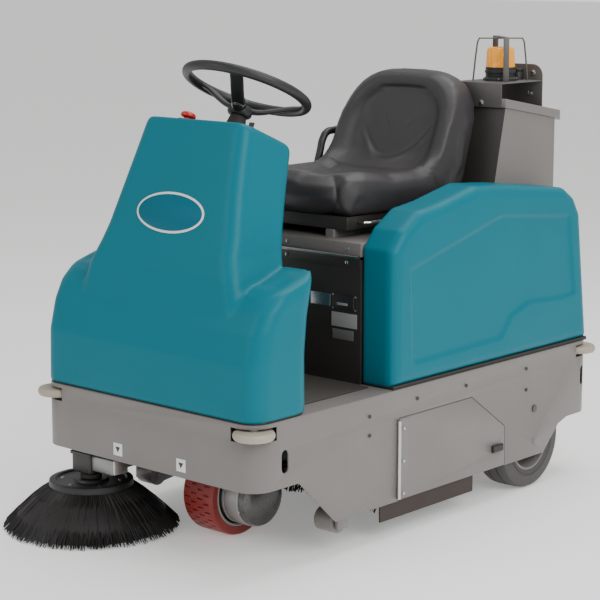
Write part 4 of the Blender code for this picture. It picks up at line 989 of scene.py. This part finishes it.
trimLook = {
    "wall": 0.4055,
    "bolts": ((-0.309, 0.361), (-0.309, 0.309), (-0.105, 0.375), (0.117, 0.373), (0.410, 0.374),
              (0.412, 0.310)),
    "stud": (0.455, 0.246), "hinge": (0.4085, -0.187, 0.0053), "hingeZ": (0.108, 0.327), "doorFace": 0.4130,
    "doorScrews": (0.306, 0.214, 0.123), "doorScrewY": -0.172,
    "stickers": (-0.098, 0.142), "stickerZ": 0.270, "stickerHalf": 0.017, "mark": 0.0105,
    "roller": (0.3735, 0.725), "rollerZ": (0.3715, 0.3975), "gasketZ": (0.4128, 0.4230),
}


def makeRoller(corner, x, y):
    low, high = trimLook["rollerZ"]
    name = f"bumper_roller_{corner}"
    wheel = turned(f"{name}_wheel", (
        (0.0065, low + 0.001), (0.040, low + 0.001), (0.050, low + 0.003), (0.0535, low + 0.008),
        (0.0545, 0.5 * (low + high)), (0.0535, high - 0.008), (0.050, high - 0.003), (0.040, high - 0.001),
        (0.0065, high - 0.001)), (x, y, 0), steps=64, ring=True)
    standIn(wheel, "palePlastic", name)
    bolt = ((0.013, 0), (0.013, 0.0016), (0.009, 0.0017), (0.009, 0.006), (0.007, 0.007))
    ends = (("top", high + 0.0008, "Z"), ("foot", low - 0.0008, "-Z"))
    pin = joined(f"{name}_bolt", [turned(f"{name}_{end}", bolt, (x, y, z), axis, 24) for end, z, axis in ends])
    dress(pin, "brightSteel", "chassis")


def makeChassisTrim():
    look = trimLook
    for side, sign in sides:
        axis = "X" if sign > 0 else "-X"
        wall = sign * look["wall"]
        spots = [(wall, y, z) for y, z in look["bolts"]]
        heads(f"side_bolts_{side}", screwHead, spots, axis, "chassis", "darkSteel", "dark_paint", radius=0.0052)
        stud = turned(f"side_stud_{side}", ((0.011, 0), (0.011, 0.002), (0.0095, 0.003), (0.007, 0.0032)),
                      (wall, *look["stud"]), axis, 32)
        dress(stud, "shadedGreyPaint", "chassis")
        face = sign * look["doorFace"]
        axle = (sign * look["hinge"][0], look["hinge"][1])
        strip = rod(f"door_hinge_{side}", [(*axle, z) for z in look["hingeZ"]], look["hinge"][2], smooth=False)
        dress(strip, "brightSteel", f"door_{side}")
        spots = [(face, look["doorScrewY"], z) for z in look["doorScrews"]]
        heads(f"door_screws_{side}", screwHead, spots, axis, f"door_{side}", radius=0.0052)
        for end, along in (("front", -1), ("rear", 1)):
            makeRoller(f"{end}_{side}", sign * look["roller"][0], along * look["roller"][1])
    z, half = look["stickerZ"], look["stickerHalf"]
    for index, x in enumerate(look["stickers"]):
        sticker = block(f"front_sticker_{index}", (x - half, -0.7557, z - half),
                        (x + half, -0.7549, z + half), 0.0003)
        dress(sticker, "labelWhite", "chassis")
        bpy.ops.object.select_all(action="DESELECT")
        bpy.ops.mesh.primitive_cylinder_add(
            vertices=3, radius=look["mark"], depth=0.0006, rotation=(math.pi / 2, math.pi, 0),
            location=at(x, -0.7558, z + 0.002),
        )
        arrow = eased(settle(bpy.context.active_object, f"sticker_mark_{index}"), 0.0006, 2)
        dress(arrow, "blackPlastic", "chassis")
    low, high = look["gasketZ"]
    strip = grown("shroud_gasket", [(z, 0.3985, -0.7470, -0.5425, 0) for z in (low, high)], 0.050)
    dress(strip, "blackRubber", "chassis")
    for side, sign in sides:
        left, right = sorted((sign * 0.294, sign * 0.3990))
        strip = block(f"cover_gasket_{side}", (left, -0.2025, low), (right, 0.7345, high), 0.0004)
        dress(strip, "blackRubber", "chassis")


makeChassisTrim()
print("chassis trim made")

# Tower: painted shade on its front, rear bracket bolts, amber beacon in its guard, reversing alarm.

beaconLook = {
    "place": (0.186, 0.555), "foot": 1.2035, "lensFoot": 1.2416, "flutes": 16, "depth": 0.030,
    "screws": (4, -150, 0.0480), "alarm": (0.199, 0.627, 0),
}


def makeBeacon():
    look = beaconLook
    x, y = look["place"]
    foot = look["foot"]
    base = turned("beacon_base_body", (
        (0.0515, foot), (0.0515, foot + 0.006), (0.046, foot + 0.0095), (0.044, foot + 0.0115),
        (0.0445, foot + 0.022), (0.0468, foot + 0.0235), (0.0468, foot + 0.0290), (0.0445, foot + 0.0305),
        (0.0445, foot + 0.0400), (0.040, foot + 0.0405)), (x, y, 0), steps=64)
    standIn(base, "blackPlastic", "beacon_base")
    low = look["lensFoot"]
    lens = turned("beacon_lens_dome", (
        (0.0440, low), (0.0438, low + 0.006), (0.0425, low + 0.012), (0.0415, low + 0.030),
        (0.0405, low + 0.050), (0.0385, low + 0.0570), (0.034, low + 0.0605), (0.020, low + 0.0618)),
        (x, y, 0), steps=160)
    middle = at(x, y, 0)
    for knot in lens.data.vertices:
        out = knot.co - middle
        share = easeStep(out.z, low + 0.006, low + 0.014) * (1 - easeStep(out.z, low + 0.050, low + 0.060))
        wave = 1 + look["depth"] * share * math.cos(look["flutes"] * math.atan2(out.y, out.x))
        knot.co = middle + Vector((out.x * wave, out.y * wave, out.z))
    standIn(lens, "amberLens", "beacon_lens")
    spots = [(x + across, y + along, foot + 0.0062) for across, along in ringOf(*look["screws"])]
    heads("beacon_screws", screwHead, spots, "Z", "chassis", radius=0.0035)
    alarm = turned("reversing_alarm_body", (
        (0.0165, foot), (0.0165, foot + 0.020), (0.0150, foot + 0.022), (0.0150, foot + 0.025),
        (0.0165, foot + 0.027), (0.0165, foot + 0.031), (0.0140, foot + 0.034), (0.0090, foot + 0.034),
        (0.0080, foot + 0.0325)), look["alarm"], steps=40)
    standIn(alarm, "blackPlastic", "reversing_alarm")


makeBeacon()
guardLook = {"across": 0.0605, "along": 0.0545, "lean": 0.86, "corner": 0.92, "top": 1.3285, "radius": 0.0026}


def makeGuardHoop():
    look = guardLook
    x, y = beaconLook["place"]
    foot, top, lean = beaconLook["foot"], look["top"], look["lean"]
    shape = ((1, foot), (0.5 + 0.5 * lean, 0.5 * (foot + top)), (lean, top - 0.012),
             (lean * look["corner"], top))
    path = [(x - look["across"] * out, y - look["along"] * out, z) for out, z in shape]
    path += [(x + look["across"] * out, y + look["along"] * out, z) for out, z in reversed(shape)]
    standIn(rod("beacon_guard_hoop", path, look["radius"], smooth=False), "shadedGreyPaint", "beacon_guard_wire")


makeGuardHoop()
bracketLook = {
    "bracket_bolts_front": (((0.130, 0.4388, 1.144), (0.202, 0.4388, 1.144)), 0.0065),
    "bracket_bolts_rear": (((0.242, 0.6465, 1.224), (0.233, 0.6465, 1.163)), 0.0060),
}
for name, (spots, radius) in bracketLook.items():
    heads(name, boltHead, spots, "-Y", "chassis", radius=radius)

# The faces of the filter housing's front wall that turn to the front take the near-black box paint: painted shade
# behind the seat.

housing = bpy.data.objects["filter_housing_sheet"]
housing.data.materials.append(paint["boxPaint"])
for face in housing.data.polygons:
    if face.normal.y < -0.8 and face.center.y - home.y < 0.46:
        face.material_index = 1
print("tower dressed")

# Console: boot round the column, mushroom stop button.

consoleLook = {"boot": ((0.040, -0.178), (0.037, -0.160), (0.031, -0.154), (0.034, -0.146), (0.029, -0.140),
                        (0.032, -0.132), (0.027, -0.126), (0.0265, -0.100), (0.024, -0.090), (0.018, -0.0875)),
               "button": (-0.115, -0.4700, 1.1215), "lean": -22.5}
columnLean = (-math.radians(wheelLook["tilt"]), 0, 0)
boot = turned("steering_boot", consoleLook["boot"], wheelLook["centre"], tilt=columnLean)
dress(boot, "blackRubber", "chassis")
buttonLean = (math.radians(consoleLook["lean"]), 0, 0)
collar = turned("stop_button_collar", ((0.0190, 0), (0.0190, 0.004), (0.0165, 0.0065), (0.012, 0.0068)),
                consoleLook["button"], tilt=buttonLean)
dress(collar, "blackPlastic", "chassis")
head = turned("stop_button_head", (
    (0.0105, 0.004), (0.0105, 0.014), (0.0195, 0.0165), (0.0215, 0.0190), (0.0215, 0.0240), (0.0190, 0.0285),
    (0.0140, 0.0312), (0.0060, 0.0325)), consoleLook["button"], tilt=buttonLean)
standIn(head, "redPlastic", "stop_button")
print("console made")
